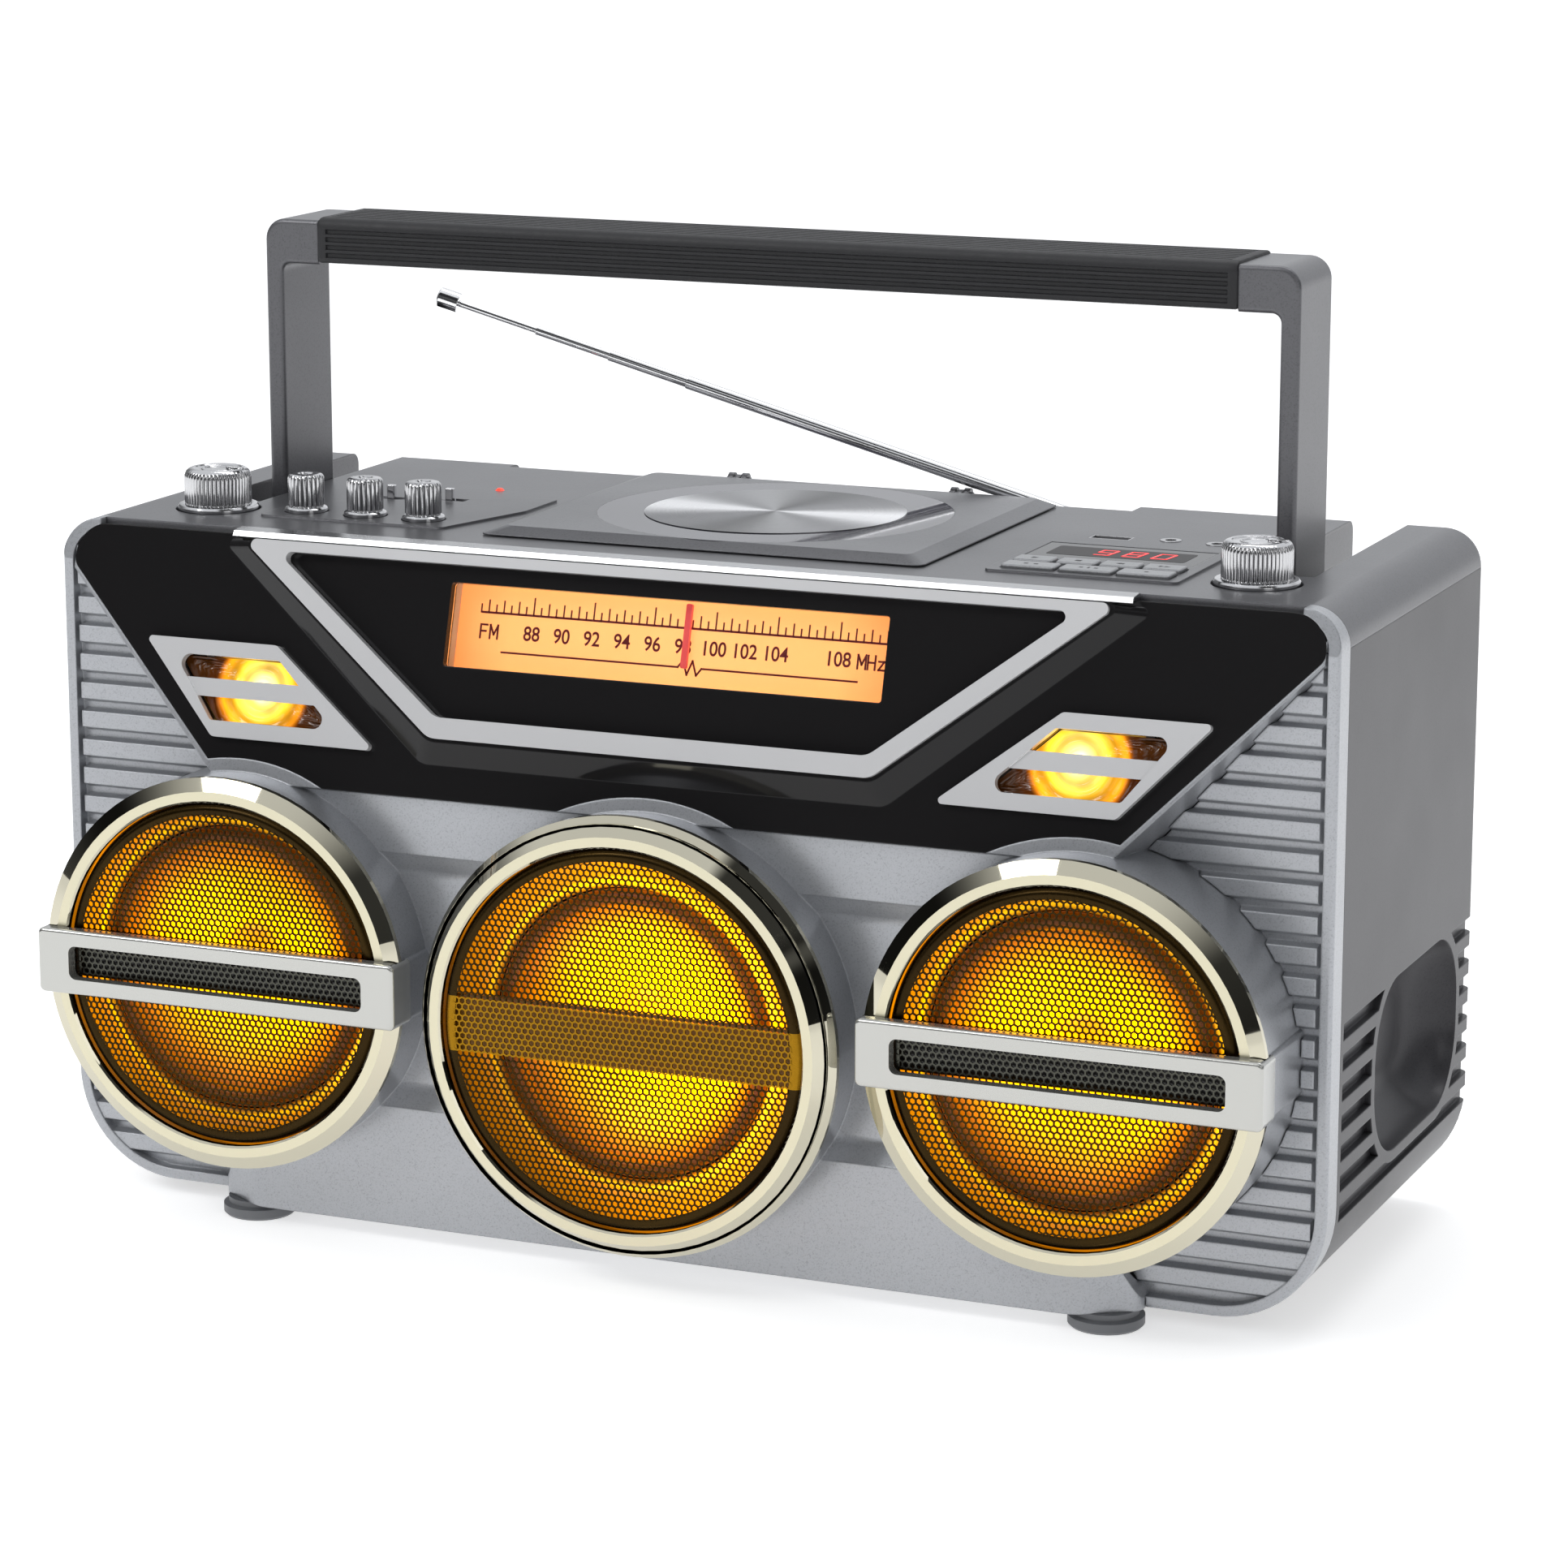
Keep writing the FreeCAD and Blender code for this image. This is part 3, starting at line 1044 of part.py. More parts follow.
def antenna_section(index):
    rod = Part.makeCylinder(ROD_R[index], ROD_END[index] - ROD_START[index],
                            Vector(0, 0, ROD_START[index]))
    if index < len(ROD_BORE):
        rod = cut(rod, [Part.makeCylinder(ROD_BORE[index], 300.0, Vector(0, 0, 0))])
    else:
        cap = Part.makeCylinder(3.5, 7.5, Vector(0, 0, ROD_END[index]))
        rod = fuse([rod, cap.makeFillet(0.8, cap.Edges[:1])])
    return place(rod, antenna_plane())


# ---- build -------------------------------------------------------------------------
def build():
    nodes = {
        "rear_cabinet": rear_cabinet(), "top_cover": top_cover(), "front_frame": front_frame(),
        "front_panel": front_panel(), "fascia": fascia(), "fascia_trim": fascia_trim(),
        "top_trim_strip": top_trim_strip(), "dial_lens": dial_lens(), "dial_scale": dial_scale(),
        "dial_light_box": dial_light_box(), "dial_pointer": dial_pointer(),
        "headlight_bezels": headlight_bezels(), "headlight_lenses": headlight_lenses(),
        "headlight_reflectors": headlight_reflectors(), "speaker_bars": speaker_bars(),
        "center_band": center_band(), "speaker_drivers": speaker_drivers(),
        "battery_door": battery_door(), "battery_contacts": battery_contacts(),
        "ac_inlet": ac_inlet(), "case_screws": case_screws(), "feet": feet(), "cd_lid": cd_lid(),
        "lid_window": lid_window(), "lid_disc": lid_disc(), "cd_well": cd_well(),
        "cd_spindle": cd_spindle(), "cd_mechanism": cd_mechanism(), "laser_sled": laser_sled(),
        "volume_knob": big_knob(-BIG_KNOB_X, False), "tuning_knob": big_knob(BIG_KNOB_X, True),
        "display_window": display_window(), "display_module": display_module(),
        "top_sockets": top_sockets(), "circuit_boards": circuit_boards(),
        "handle_frame": handle_frame(), "handle_grip": handle_grip(),
        "handle_pins": handle_pins(), "antenna_base": antenna_base(),
        "antenna_outer": antenna_outer(), "antenna_second": antenna_section(1),
        "antenna_third": antenna_section(2), "antenna_tip": antenna_section(3),
        "speaker_rings": Part.makeCompound(speaker_rings()),
        "speaker_grilles": Part.makeCompound(speaker_grilles()),
    }
    for name, x, z, front, _, _ in speaker_axes():
        nodes["speaker_cone_" + name] = speaker_cone(x, z, front)
    for name, x in TONE_KNOBS.items():
        nodes[name] = tone_knob(x)
    for name, (x, y) in SWITCHES.items():
        nodes[name] = slide_switch(x, y)
    for name, corners in button_layout().items():
        nodes[name] = push_button(*corners)
    return nodes


for node_name, node_shape in build().items():
    export(node_name, node_shape)
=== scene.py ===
"""Looks of a portable CD and radio player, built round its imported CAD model. Metres, +Z up."""
import bpy
import math
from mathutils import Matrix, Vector


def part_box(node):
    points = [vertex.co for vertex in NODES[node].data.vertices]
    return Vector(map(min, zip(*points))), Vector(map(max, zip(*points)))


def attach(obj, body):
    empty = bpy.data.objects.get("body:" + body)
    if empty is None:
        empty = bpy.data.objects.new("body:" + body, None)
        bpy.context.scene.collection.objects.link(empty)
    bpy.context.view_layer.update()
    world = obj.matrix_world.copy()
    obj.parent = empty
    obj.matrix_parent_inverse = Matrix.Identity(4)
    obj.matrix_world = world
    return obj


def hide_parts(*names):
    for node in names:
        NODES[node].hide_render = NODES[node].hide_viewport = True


MM = 0.001
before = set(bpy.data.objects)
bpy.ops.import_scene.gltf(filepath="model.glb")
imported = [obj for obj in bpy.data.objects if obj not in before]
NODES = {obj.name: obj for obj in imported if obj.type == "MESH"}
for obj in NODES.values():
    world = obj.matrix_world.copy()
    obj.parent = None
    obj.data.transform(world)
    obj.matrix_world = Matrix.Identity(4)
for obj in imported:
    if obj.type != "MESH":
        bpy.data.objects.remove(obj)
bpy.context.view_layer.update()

# ---- driving dimensions, in millimetres ---------------------------------------------
LEAN = math.radians(16.25)            # fascia leans back by this much
FASCIA_ORIGIN = Vector((0.0, -66.0, 190.0)) * MM
MESH_PITCH = 2.15                     # distance between grille holes
MESH_HOLE = 0.75                      # size of a hole as a part of its hexagonal cell
BIG_FLUTES = 48
SMALL_FLUTES = 22
DIAL_MM_PER_MHZ = 5.17
DIAL_FIRST = (88, -48.3)              # frequency and its place on the scale
STANDBY = (-108.0, 44.0)              # standby lamp's place on the deck
FLOOR_GLOW = 0.56                     # keeps the pale floor even, far from the lamps
SPEAKERS = (("left", -141.5, 87.7), ("center", 0.0, 82.2), ("right", 141.5, 87.7))
CENTER_FRONT = (99.0, 60.9)           # ring's flat face in front of the origin, mesh's radius
SIDE_FRONT = (94.0, 56.1)
CENTER_LIGHT = (1, -0.4, 3.0, 17.0)   # lobes of light, their turn, dimmest and brightest
SIDE_LIGHT = (2, 0.5, 4.0, 7.0)
CONE_SET_BACK = 11.0                  # cone's front behind the ring's flat face
CONE_STEPS = 96
RIM_STEPS = 160
CONE_GLOW_RADIUS = 64.0               # the cones' pattern of light ends here
LAMP_CENTRE = (137.5, -14.6)          # bulb's place behind the headlight lens
LAMP_CORNERS = ((108.9, -25.1), (152.7, -25.1), (168.0, -5.2), (130.8, -5.2))
LAMP_GLOW_RADIUS = 26.0
LENS_TURNS = 120
LENS_RINGS = 44
DIAL_HALF = 0.0737                    # half of the paper's width, in metres
PER_FLUTE = 8                         # steps round one flute
LIGHT_TARGET = (0.0, 0.0, 0.15)       # in metres, as are the lamps' places and sizes
LIGHTS = (("key", (-1.1, -1.5, 1.7), (1.0, 0.7), 15.0), ("fill", (1.5, -1.2, 0.9), (0.7, 0.9), 3.0),
          ("top", (0.1, 0.5, 1.7), (1.4, 0.5), 7.0))
# Two tones of the speaker rings: the darker bevel tone is painted shade, chosen by which way the surface
# faces.
RING_FACE = (0.66, 0.62, 0.46)
RING_BEVEL_PAINTED_SHADE = (0.56, 0.53, 0.42)
SKY_LEVEL = 0.92
SKY_DROP = 0.87                       # how much of it the dark front takes away
FLAG_TOWARDS = (0.56, -0.39, 0.70)
FLAG_COSINES = (0.88, 0.93)           # the flag's edge is soft between these
FLAG_LEVEL = 0.06
CAMERA_PLACE = (0.6153, -1.4254, 0.4921)
CAMERA_YAW = math.radians(22.89)
CAMERA_PITCH = math.radians(12.67)
CAMERA_LENS = 113.77


def slope(u, v, w):
    """Point on the leaning fascia: u to the right, v up the slope, w out of it, in mm."""
    up = Vector((0.0, math.sin(LEAN), math.cos(LEAN)))
    out = Vector((0.0, -math.cos(LEAN), math.sin(LEAN)))
    return FASCIA_ORIGIN + Vector((u, 0.0, 0.0)) * MM + up * (v * MM) + out * (w * MM)


def front(u, v, w):
    """Point on an upright plane facing the front: x, z and distance towards the viewer."""
    return Vector((u, -w, v)) * MM


def level(u, v, w):
    """Point on a level plane: x, y and height."""
    return Vector((u, v, w)) * MM


# ---- materials: small helpers --------------------------------------------------------
def material(name, color, roughness, metallic=0.0, **sockets):
    mat = bpy.data.materials.new(name)
    mat.use_nodes = True
    shader = mat.node_tree.nodes["Principled BSDF"]
    shader.inputs["Base Color"].default_value = (*color, 1.0)
    shader.inputs["Roughness"].default_value = roughness
    shader.inputs["Metallic"].default_value = metallic
    for socket, value in sockets.items():
        shader.inputs[socket.replace("_", " ")].default_value = value
    return mat


def add(mat, kind, **values):
    node = mat.node_tree.nodes.new("ShaderNode" + kind)
    for key, value in values.items():
        if key in node.inputs:
            node.inputs[key].default_value = value
        else:
            setattr(node, key, value)
    return node


def link(mat, source, target):
    mat.node_tree.links.new(source, target)


def shader_of(mat):
    return mat.node_tree.nodes["Principled BSDF"]


def place_coords(mat):
    """Coordinates fixed to the piece, in metres."""
    return add(mat, "TexCoord").outputs["Object"]


def math_node(mat, operation, first, second=None):
    node = add(mat, "Math", operation=operation)
    for index, value in enumerate((first, second)):
        if value is None:
            continue
        if isinstance(value, (int, float)):
            node.inputs[index].default_value = value
        else:
            link(mat, value, node.inputs[index])
    return node.outputs[0]


def noise(mat, scale, detail=2.0):
    node = add(mat, "TexNoise", Scale=scale, Detail=detail)
    link(mat, place_coords(mat), node.inputs["Vector"])
    return node.outputs[0]


def ramp(mat, factor, stops):
    node = add(mat, "ValToRGB")
    elements = node.color_ramp.elements
    while len(elements) < len(stops):
        elements.new(0.5)
    for element, (position, color) in zip(elements, stops):
        element.position = position
        element.color = (*color, 1.0) if len(color) == 3 else color
    link(mat, factor, node.inputs["Fac"])
    return node.outputs["Color"]


def distance_from(mat, first, second, axes):
    """Distance from an axis, where axes names the two coordinates that count."""
    split = add(mat, "SeparateXYZ")
    link(mat, place_coords(mat), split.inputs["Vector"])
    squares = []
    for axis, middle in zip(axes, (first, second)):
        offset = math_node(mat, "SUBTRACT", split.outputs[axis], middle)
        squares.append(math_node(mat, "MULTIPLY", offset, offset))
    return math_node(mat, "SQRT", math_node(mat, "ADD", *squares))


def scaled(mat, value, factor):
    return math_node(mat, "MULTIPLY", value, factor)


def angle_about(mat, first, second, axes):
    """Angle round an axis, from -pi to pi, where axes names the two coordinates that count."""
    split = add(mat, "SeparateXYZ")
    link(mat, place_coords(mat), split.inputs["Vector"])
    across = math_node(mat, "SUBTRACT", split.outputs[axes[0]], first)
    upward = math_node(mat, "SUBTRACT", split.outputs[axes[1]], second)
    return math_node(mat, "ARCTAN2", upward, across)


def vary_roughness(mat, source, low, high):
    node = add(mat, "MapRange")
    node.inputs["To Min"].default_value = low
    node.inputs["To Max"].default_value = high
    link(mat, source, node.inputs["Value"])
    link(mat, node.outputs["Result"], shader_of(mat).inputs["Roughness"])


def soft_edges(mat, radius_mm, height=None, strength=0.2, distance=0.0001):
    """Rounds the look of sharp edges, with an optional fine relief on top."""
    bevel = add(mat, "Bevel", samples=4, Radius=radius_mm * MM)
    normal = bevel.outputs["Normal"]
    if height is not None:
        bump = add(mat, "Bump", Strength=strength, Distance=distance)
        link(mat, height, bump.inputs["Height"])
        link(mat, normal, bump.inputs["Normal"])
        normal = bump.outputs["Normal"]
    link(mat, normal, shader_of(mat).inputs["Normal"])


# ---- materials ---------------------------------------------------------------------
def silver_paint(name, color, edge_mm=0.8, metallic=0.62, shine=0.5):
    """Satin metallic paint: tiny flakes that differ in tone over a fine orange-peel relief."""
    mat = material(name, color, 0.34, metallic, Coat_Weight=shine * 0.5, Coat_Roughness=0.22,
                   Specular_IOR_Level=shine)
    flakes = add(mat, "TexVoronoi", Scale=2600.0)
    link(mat, place_coords(mat), flakes.inputs["Vector"])
    shade = add(mat, "HueSaturation", Saturation=0.0)
    link(mat, flakes.outputs["Color"], shade.inputs["Color"])
    dark, bright = [c * 0.88 for c in color], [min(1.0, c * 1.12) for c in color]
    tone = ramp(mat, shade.outputs["Color"], [(0.2, dark), (0.8, bright)])
    link(mat, tone, shader_of(mat).inputs["Base Color"])
    vary_roughness(mat, noise(mat, 30.0), 0.31, 0.38)
    soft_edges(mat, edge_mm, noise(mat, 2400.0), 0.05)
    return mat


def satin_plating(name, color, roughness, metallic):
    """Smooth satin trim with a faint haze."""
    mat = material(name, color, roughness, metallic, Coat_Weight=0.3, Coat_Roughness=0.12)
    vary_roughness(mat, noise(mat, 25.0, 1.0), roughness * 0.92, roughness * 1.08)
    return mat


def polished(name, color, roughness):
    """Plated metal with faint haze in patches."""
    mat = material(name, color, roughness, 1.0)
    vary_roughness(mat, noise(mat, 60.0, 4.0), roughness * 0.7, roughness * 1.5)
    soft_edges(mat, 0.4)
    return mat


def ring_plating(name):
    """Warm plating: satin cream where the ring faces front or back, mirror-like elsewhere. The darker tone
    elsewhere is chosen by which way the surface faces and is painted shade; the satin and mirror-like
    roughness is the plating's own.
    """
    mat = material(name, RING_FACE, 0.1, 1.0)
    geometry = add(mat, "NewGeometry")
    axis = add(mat, "SeparateXYZ")
    link(mat, geometry.outputs["Normal"], axis.inputs["Vector"])
    facing = math_node(mat, "GREATER_THAN", math_node(mat, "ABSOLUTE", axis.outputs["Y"]), 0.97)
    # Painted shade: a darker tone wherever the ring does not face front or back.
    painted_shade_tint = ramp(mat, facing, [(0.0, RING_BEVEL_PAINTED_SHADE), (1.0, RING_FACE)])
    link(mat, painted_shade_tint, shader_of(mat).inputs["Base Color"])
    haze = math_node(mat, "MULTIPLY", noise(mat, 70.0, 3.0), 0.06)
    link(mat, math_node(mat, "ADD", math_node(mat, "MULTIPLY", facing, 0.30), haze),
         shader_of(mat).inputs["Roughness"])
    return mat


def black_gloss(name):
    roughness = 0.06
    mat = material(name, (0.012, 0.0115, 0.012), roughness, Specular_IOR_Level=0.24)
    vary_roughness(mat, noise(mat, 45.0, 5.0), roughness * 0.6, roughness * 2.0)
    soft_edges(mat, 0.5, noise(mat, 6.0), 0.02, 0.0004)
    return mat


def rubber(name):
    mat = material(name, (0.018, 0.018, 0.020), 0.52, Specular_IOR_Level=0.4)
    vary_roughness(mat, noise(mat, 300.0, 3.0), 0.45, 0.62)
    soft_edges(mat, 0.4, noise(mat, 2200.0, 3.0), 0.25)
    return mat


def matte_plastic(name, color, roughness=0.5):
    mat = material(name, color, roughness)
    vary_roughness(mat, noise(mat, 200.0, 3.0), roughness * 0.85, min(1.0, roughness * 1.2))
    soft_edges(mat, 0.3, noise(mat, 1600.0, 3.0), 0.2)
    return mat


def spun_metal(name):
    """Disc turned on a lathe: fine rings, and fans of light and shade about the centre."""
    mat = material(name, (0.5, 0.5, 0.5), 0.26, 1.0, Anisotropic=0.9)
    tangent = add(mat, "Tangent", direction_type="RADIAL", axis="Z")
    link(mat, tangent.outputs["Tangent"], shader_of(mat).inputs["Tangent"])
    low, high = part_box("lid_disc")
    x, y = (low[0] + high[0]) / 2, (low[1] + high[1]) / 2
    rings = add(mat, "TexNoise", Scale=1.0, Detail=3.0)
    link(mat, scaled(mat, distance_from(mat, x, y, "XY"), 6000.0), rings.inputs["Vector"])
    vary_roughness(mat, rings.outputs[0], 0.22, 0.36)
    fans = math_node(mat, "COSINE", scaled(mat, angle_about(mat, x, y, "XY"), 2.0))
    fine = math_node(mat, "COSINE", scaled(mat, angle_about(mat, x, y, "XY"), 6.0))
    shade = math_node(mat, "ADD", math_node(mat, "MULTIPLY", fans, 0.36),
                      math_node(mat, "MULTIPLY", fine, 0.12))
    tone = ramp(mat, math_node(mat, "ADD", shade, 0.5),
                [(0.05, (0.05, 0.05, 0.052)), (0.5, (0.28, 0.28, 0.29)), (0.92, (0.92, 0.92, 0.93))])
    link(mat, tone, shader_of(mat).inputs["Base Color"])
    bump = add(mat, "Bump", Strength=0.12, Distance=0.00005)
    link(mat, rings.outputs[0], bump.inputs["Height"])
    link(mat, bump.outputs["Normal"], shader_of(mat).inputs["Normal"])
    return mat


CONE_TONES = ((0.0, (0.95, 0.36, 0.0)), (0.16, (0.85, 0.24, 0.0)), (0.22, (1.0, 0.50, 0.0)),
              (0.42, (1.0, 0.47, 0.0)), (0.52, (0.95, 0.30, 0.0)), (0.62, (0.65, 0.15, 0.0)),
              (0.68, (0.16, 0.025, 0.0)), (0.73, (0.24, 0.05, 0.0)), (0.76, (1.0, 0.46, 0.0)),
              (0.79, (0.70, 0.22, 0.0)), (0.90, (0.66, 0.20, 0.0)), (1.0, (0.30, 0.09, 0.0)))
CONE_LIGHT = ((0.0, 1.15), (0.20, 1.35), (0.30, 1.1), (0.50, 0.85), (0.60, 0.45), (0.66, 0.12),
              (0.70, 0.10), (0.76, 0.62), (0.80, 0.48), (1.0, 0.34))


def lit_cone(name, x, z, lobes, turn, dim, bright):
    """Amber light on a speaker: rings by radius, from dim to bright round it in some lobes."""
    mat = material(name, (0.20, 0.08, 0.01), 0.35)
    radius = scaled(mat, distance_from(mat, x * MM, z * MM, "XZ"), 1000.0 / CONE_GLOW_RADIUS)
    tone = ramp(mat, radius, CONE_TONES)
    light = ramp(mat, radius, [(place, (value * 0.5,) * 3) for place, value in CONE_LIGHT])
    around = math_node(mat, "ADD", scaled(mat, angle_about(mat, x * MM, z * MM, "XZ"), float(lobes)), turn)
    lobe = add(mat, "MapRange")
    link(mat, math_node(mat, "COSINE", around), lobe.inputs["Value"])
    lobe.inputs["From Min"].default_value = -1.0
    lobe.inputs["To Min"].default_value = dim
    lobe.inputs["To Max"].default_value = bright
    patchy = math_node(mat, "ADD", scaled(mat, noise(mat, 22.0), 1.1), 0.45)
    strength = math_node(mat, "MULTIPLY", math_node(mat, "MULTIPLY", lobe.outputs["Result"], patchy),
                         light)
    link(mat, tone, shader_of(mat).inputs["Emission Color"])
    link(mat, strength, shader_of(mat).inputs["Emission Strength"])
    return mat


def grille_metal(name, stripe_z, stripe_half, stripe_color):
    """Dark bronze sheet with a level stripe in another tone; places in mm."""
    mat = material(name, (0.03, 0.018, 0.006), 0.28, 0.9)
    vary_roughness(mat, noise(mat, 400.0, 2.0), 0.2, 0.36)
    tone = ramp(mat, noise(mat, 30.0), [(0.3, (0.022, 0.012, 0.002)), (0.7, (0.036, 0.020, 0.003))])
    split = add(mat, "SeparateXYZ")
    link(mat, place_coords(mat), split.inputs["Vector"])
    away = math_node(mat, "ABSOLUTE", math_node(mat, "SUBTRACT", split.outputs["Z"], stripe_z * MM))
    mix = add(mat, "MixRGB")
    link(mat, math_node(mat, "LESS_THAN", away, stripe_half * MM), mix.inputs["Fac"])
    link(mat, tone, mix.inputs["Color1"])
    mix.inputs["Color2"].default_value = (*stripe_color, 1.0)
    link(mat, mix.outputs["Color"], shader_of(mat).inputs["Base Color"])
    return mat


def glowing(name, color, strength):
    mat = material(name, color, 0.3)
    shader = shader_of(mat)
    shader.inputs["Emission Color"].default_value = (*color, 1.0)
    shader.inputs["Emission Strength"].default_value = strength
    return mat


def board_with_lamp(name, x, y, radius):
    """Dark board whose standby lamp glows red round one place, in mm."""
    mat = material(name, (0.03, 0.03, 0.032), 0.4)
    shader_of(mat).inputs["Emission Color"].default_value = (1.0, 0.05, 0.02, 1.0)
    away = distance_from(mat, x * MM, y * MM, "XY")
    link(mat, scaled(mat, math_node(mat, "LESS_THAN", away, radius * MM), 1.6),
         shader_of(mat).inputs["Emission Strength"])
    vary_roughness(mat, noise(mat, 200.0), 0.35, 0.5)
    return mat


def dial_paper(name):
    """Amber scale that glows by itself, a little darker and redder towards its ends."""
    mat = material(name, (1.0, 0.45, 0.08), 0.5)
    split = add(mat, "SeparateXYZ")
    link(mat, place_coords(mat), split.inputs["Vector"])
    along = scaled(mat, math_node(mat, "ABSOLUTE", split.outputs["X"]), 1.0 / DIAL_HALF)
    tone = ramp(mat, along, [(0.0, (1.0, 0.52, 0.17)), (0.75, (1.0, 0.49, 0.15)),
                             (1.0, (0.97, 0.34, 0.09))])
    link(mat, tone, shader_of(mat).inputs["Base Color"])
    link(mat, tone, shader_of(mat).inputs["Emission Color"])
    level_out = add(mat, "MapRange")
    link(mat, noise(mat, 18.0), level_out.inputs["Value"])
    level_out.inputs["To Min"].default_value = 0.72
    level_out.inputs["To Max"].default_value = 0.98
    link(mat, level_out.outputs["Result"], shader_of(mat).inputs["Emission Strength"])
    return mat


def smoked_glass(name, color, transmission, roughness=0.04):
    mat = material(name, color, roughness, Transmission_Weight=transmission, IOR=1.49)
    vary_roughness(mat, noise(mat, 80.0, 3.0), roughness * 0.7, roughness * 1.8)
    return mat


def lamp_lens(name, side):
    """Headlight lens: a hot middle, rings of orange and a dark rim."""
    centre = slope(side * LAMP_CENTRE[0], LAMP_CENTRE[1], 0.0)
    mat = material(name, (0.10, 0.03, 0.004), 0.06)
    radius = scaled(mat, distance_from(mat, centre.x, centre.z, "XZ"), 1000.0 / LAMP_GLOW_RADIUS)
    tone = ramp(mat, radius, [(0.0, (1.0, 0.90, 0.55)), (0.14, (1.0, 0.72, 0.16)),
                              (0.40, (1.0, 0.52, 0.02)), (0.56, (1.0, 0.34, 0.008)),
                              (0.66, (0.55, 0.10, 0.003)), (1.0, (0.03, 0.004, 0.001))])
    heat = ramp(mat, radius, [(0.0, (1.0, 1.0, 1.0)), (0.12, (0.5, 0.5, 0.5)),
                              (0.30, (0.30, 0.30, 0.30)), (0.58, (0.22, 0.22, 0.22)),
                              (0.66, (0.02, 0.02, 0.02)), (0.8, (0.0, 0.0, 0.0))])
    wobble = scaled(mat, noise(mat, 40.0), 7.0)
    rings = math_node(mat, "SINE", math_node(mat, "ADD", scaled(mat, radius, 30.0), wobble))
    ripple = add(mat, "MapRange")
    link(mat, rings, ripple.inputs["Value"])
    ripple.inputs["From Min"].default_value = -1.0
    ripple.inputs["To Min"].default_value = 4.0
    ripple.inputs["To Max"].default_value = 9.0
    patchy = math_node(mat, "ADD", scaled(mat, noise(mat, 90.0), 1.2), 0.2)
    link(mat, tone, shader_of(mat).inputs["Emission Color"])
    link(mat, math_node(mat, "MULTIPLY", math_node(mat, "MULTIPLY", heat, patchy),
                        ripple.outputs["Result"]), shader_of(mat).inputs["Emission Strength"])
    return mat


SILVER = silver_paint("silver_paint", (0.37, 0.38, 0.40))
# Painted shade: the top and the sides carry the same silver paint as the front. These darker, less shiny
# copies stand in for the shade that falls on them.
SILVER_TOP_PAINTED_SHADE = silver_paint("silver_top_painted_shade", (0.122, 0.122, 0.130), 0.8, 0.55, 0.3)
SILVER_SIDE_PAINTED_SHADE = silver_paint("silver_side_painted_shade", (0.052, 0.051, 0.055), 0.8, 0.2, 0.15)
SATIN_TRIM = satin_plating("satin_trim", (0.78, 0.78, 0.79), 0.26, 0.4)
CHROME = polished("bright_chrome", (0.86, 0.86, 0.87), 0.06)
KNOB_CHROME = polished("knob_chrome", (0.60, 0.60, 0.61), 0.12)
# Darker chrome for the bottoms of the flutes: painted shade and painted dark reflection.
GROOVE_PAINTED_SHADE = polished("groove_painted_shade", (0.10, 0.10, 0.105), 0.25)
BAR_CHROME = satin_plating("satin_chrome", (0.50, 0.50, 0.475), 0.22, 0.75)
STRIP_CHROME = polished("strip_chrome", (0.52, 0.525, 0.53), 0.16)
RING = ring_plating("warm_plating_painted_shade")
GLOSS = black_gloss("piano_black")
RUBBER = rubber("black_rubber")
FOOT = matte_plastic("grey_foot", (0.16, 0.165, 0.175), 0.45)
BLACK = matte_plastic("black_plastic", (0.02, 0.02, 0.022))
BOARD = matte_plastic("circuit_laminate", (0.02, 0.11, 0.05))
WHITE = matte_plastic("white_plastic", (0.75, 0.73, 0.68))
STEEL = polished("plain_steel", (0.50, 0.50, 0.51), 0.3)
SPUN = spun_metal("spun_aluminium")
MESH = grille_metal("bronze_mesh", 82.2, 8.8, (0.30, 0.150, 0.005))
SIDE_MESH = grille_metal("bronze_mesh_side", 87.7, 6.5, (0.075, 0.075, 0.062))
AMBER_BAND = matte_plastic("amber_band", (0.28, 0.12, 0.003), 0.4)
DARK_BAND = matte_plastic("dark_band", (0.012, 0.010, 0.008), 0.3)
DIAL = dial_paper("lit_dial")
INK = matte_plastic("dial_ink", (0.22, 0.008, 0.014), 0.6)
POINTER = glowing("pointer_pink", (0.95, 0.10, 0.10), 0.35)
LENS = smoked_glass("clear_acrylic", (1.0, 1.0, 1.0), 1.0, 0.02)
SMOKE = smoked_glass("smoked_acrylic", (0.10, 0.098, 0.125), 0.5)
LID_SILVER = silver_paint("lid_paint", (0.15, 0.151, 0.160), 0.5, 0.55, 0.3)
DIGIT = glowing("digit_red", (1.0, 0.012, 0.015), 0.75)
DIGIT_OFF = material("display_inner", (0.006, 0.003, 0.003), 0.35, Specular_IOR_Level=0.12)
BOARD_LAMP = board_with_lamp("standby_lamp", *STANDBY, 1.6)
BUTTON = silver_paint("button_paint", (0.30, 0.305, 0.315), 0.5)
PRINT = matte_plastic("grey_print", (0.05, 0.05, 0.055), 0.5)

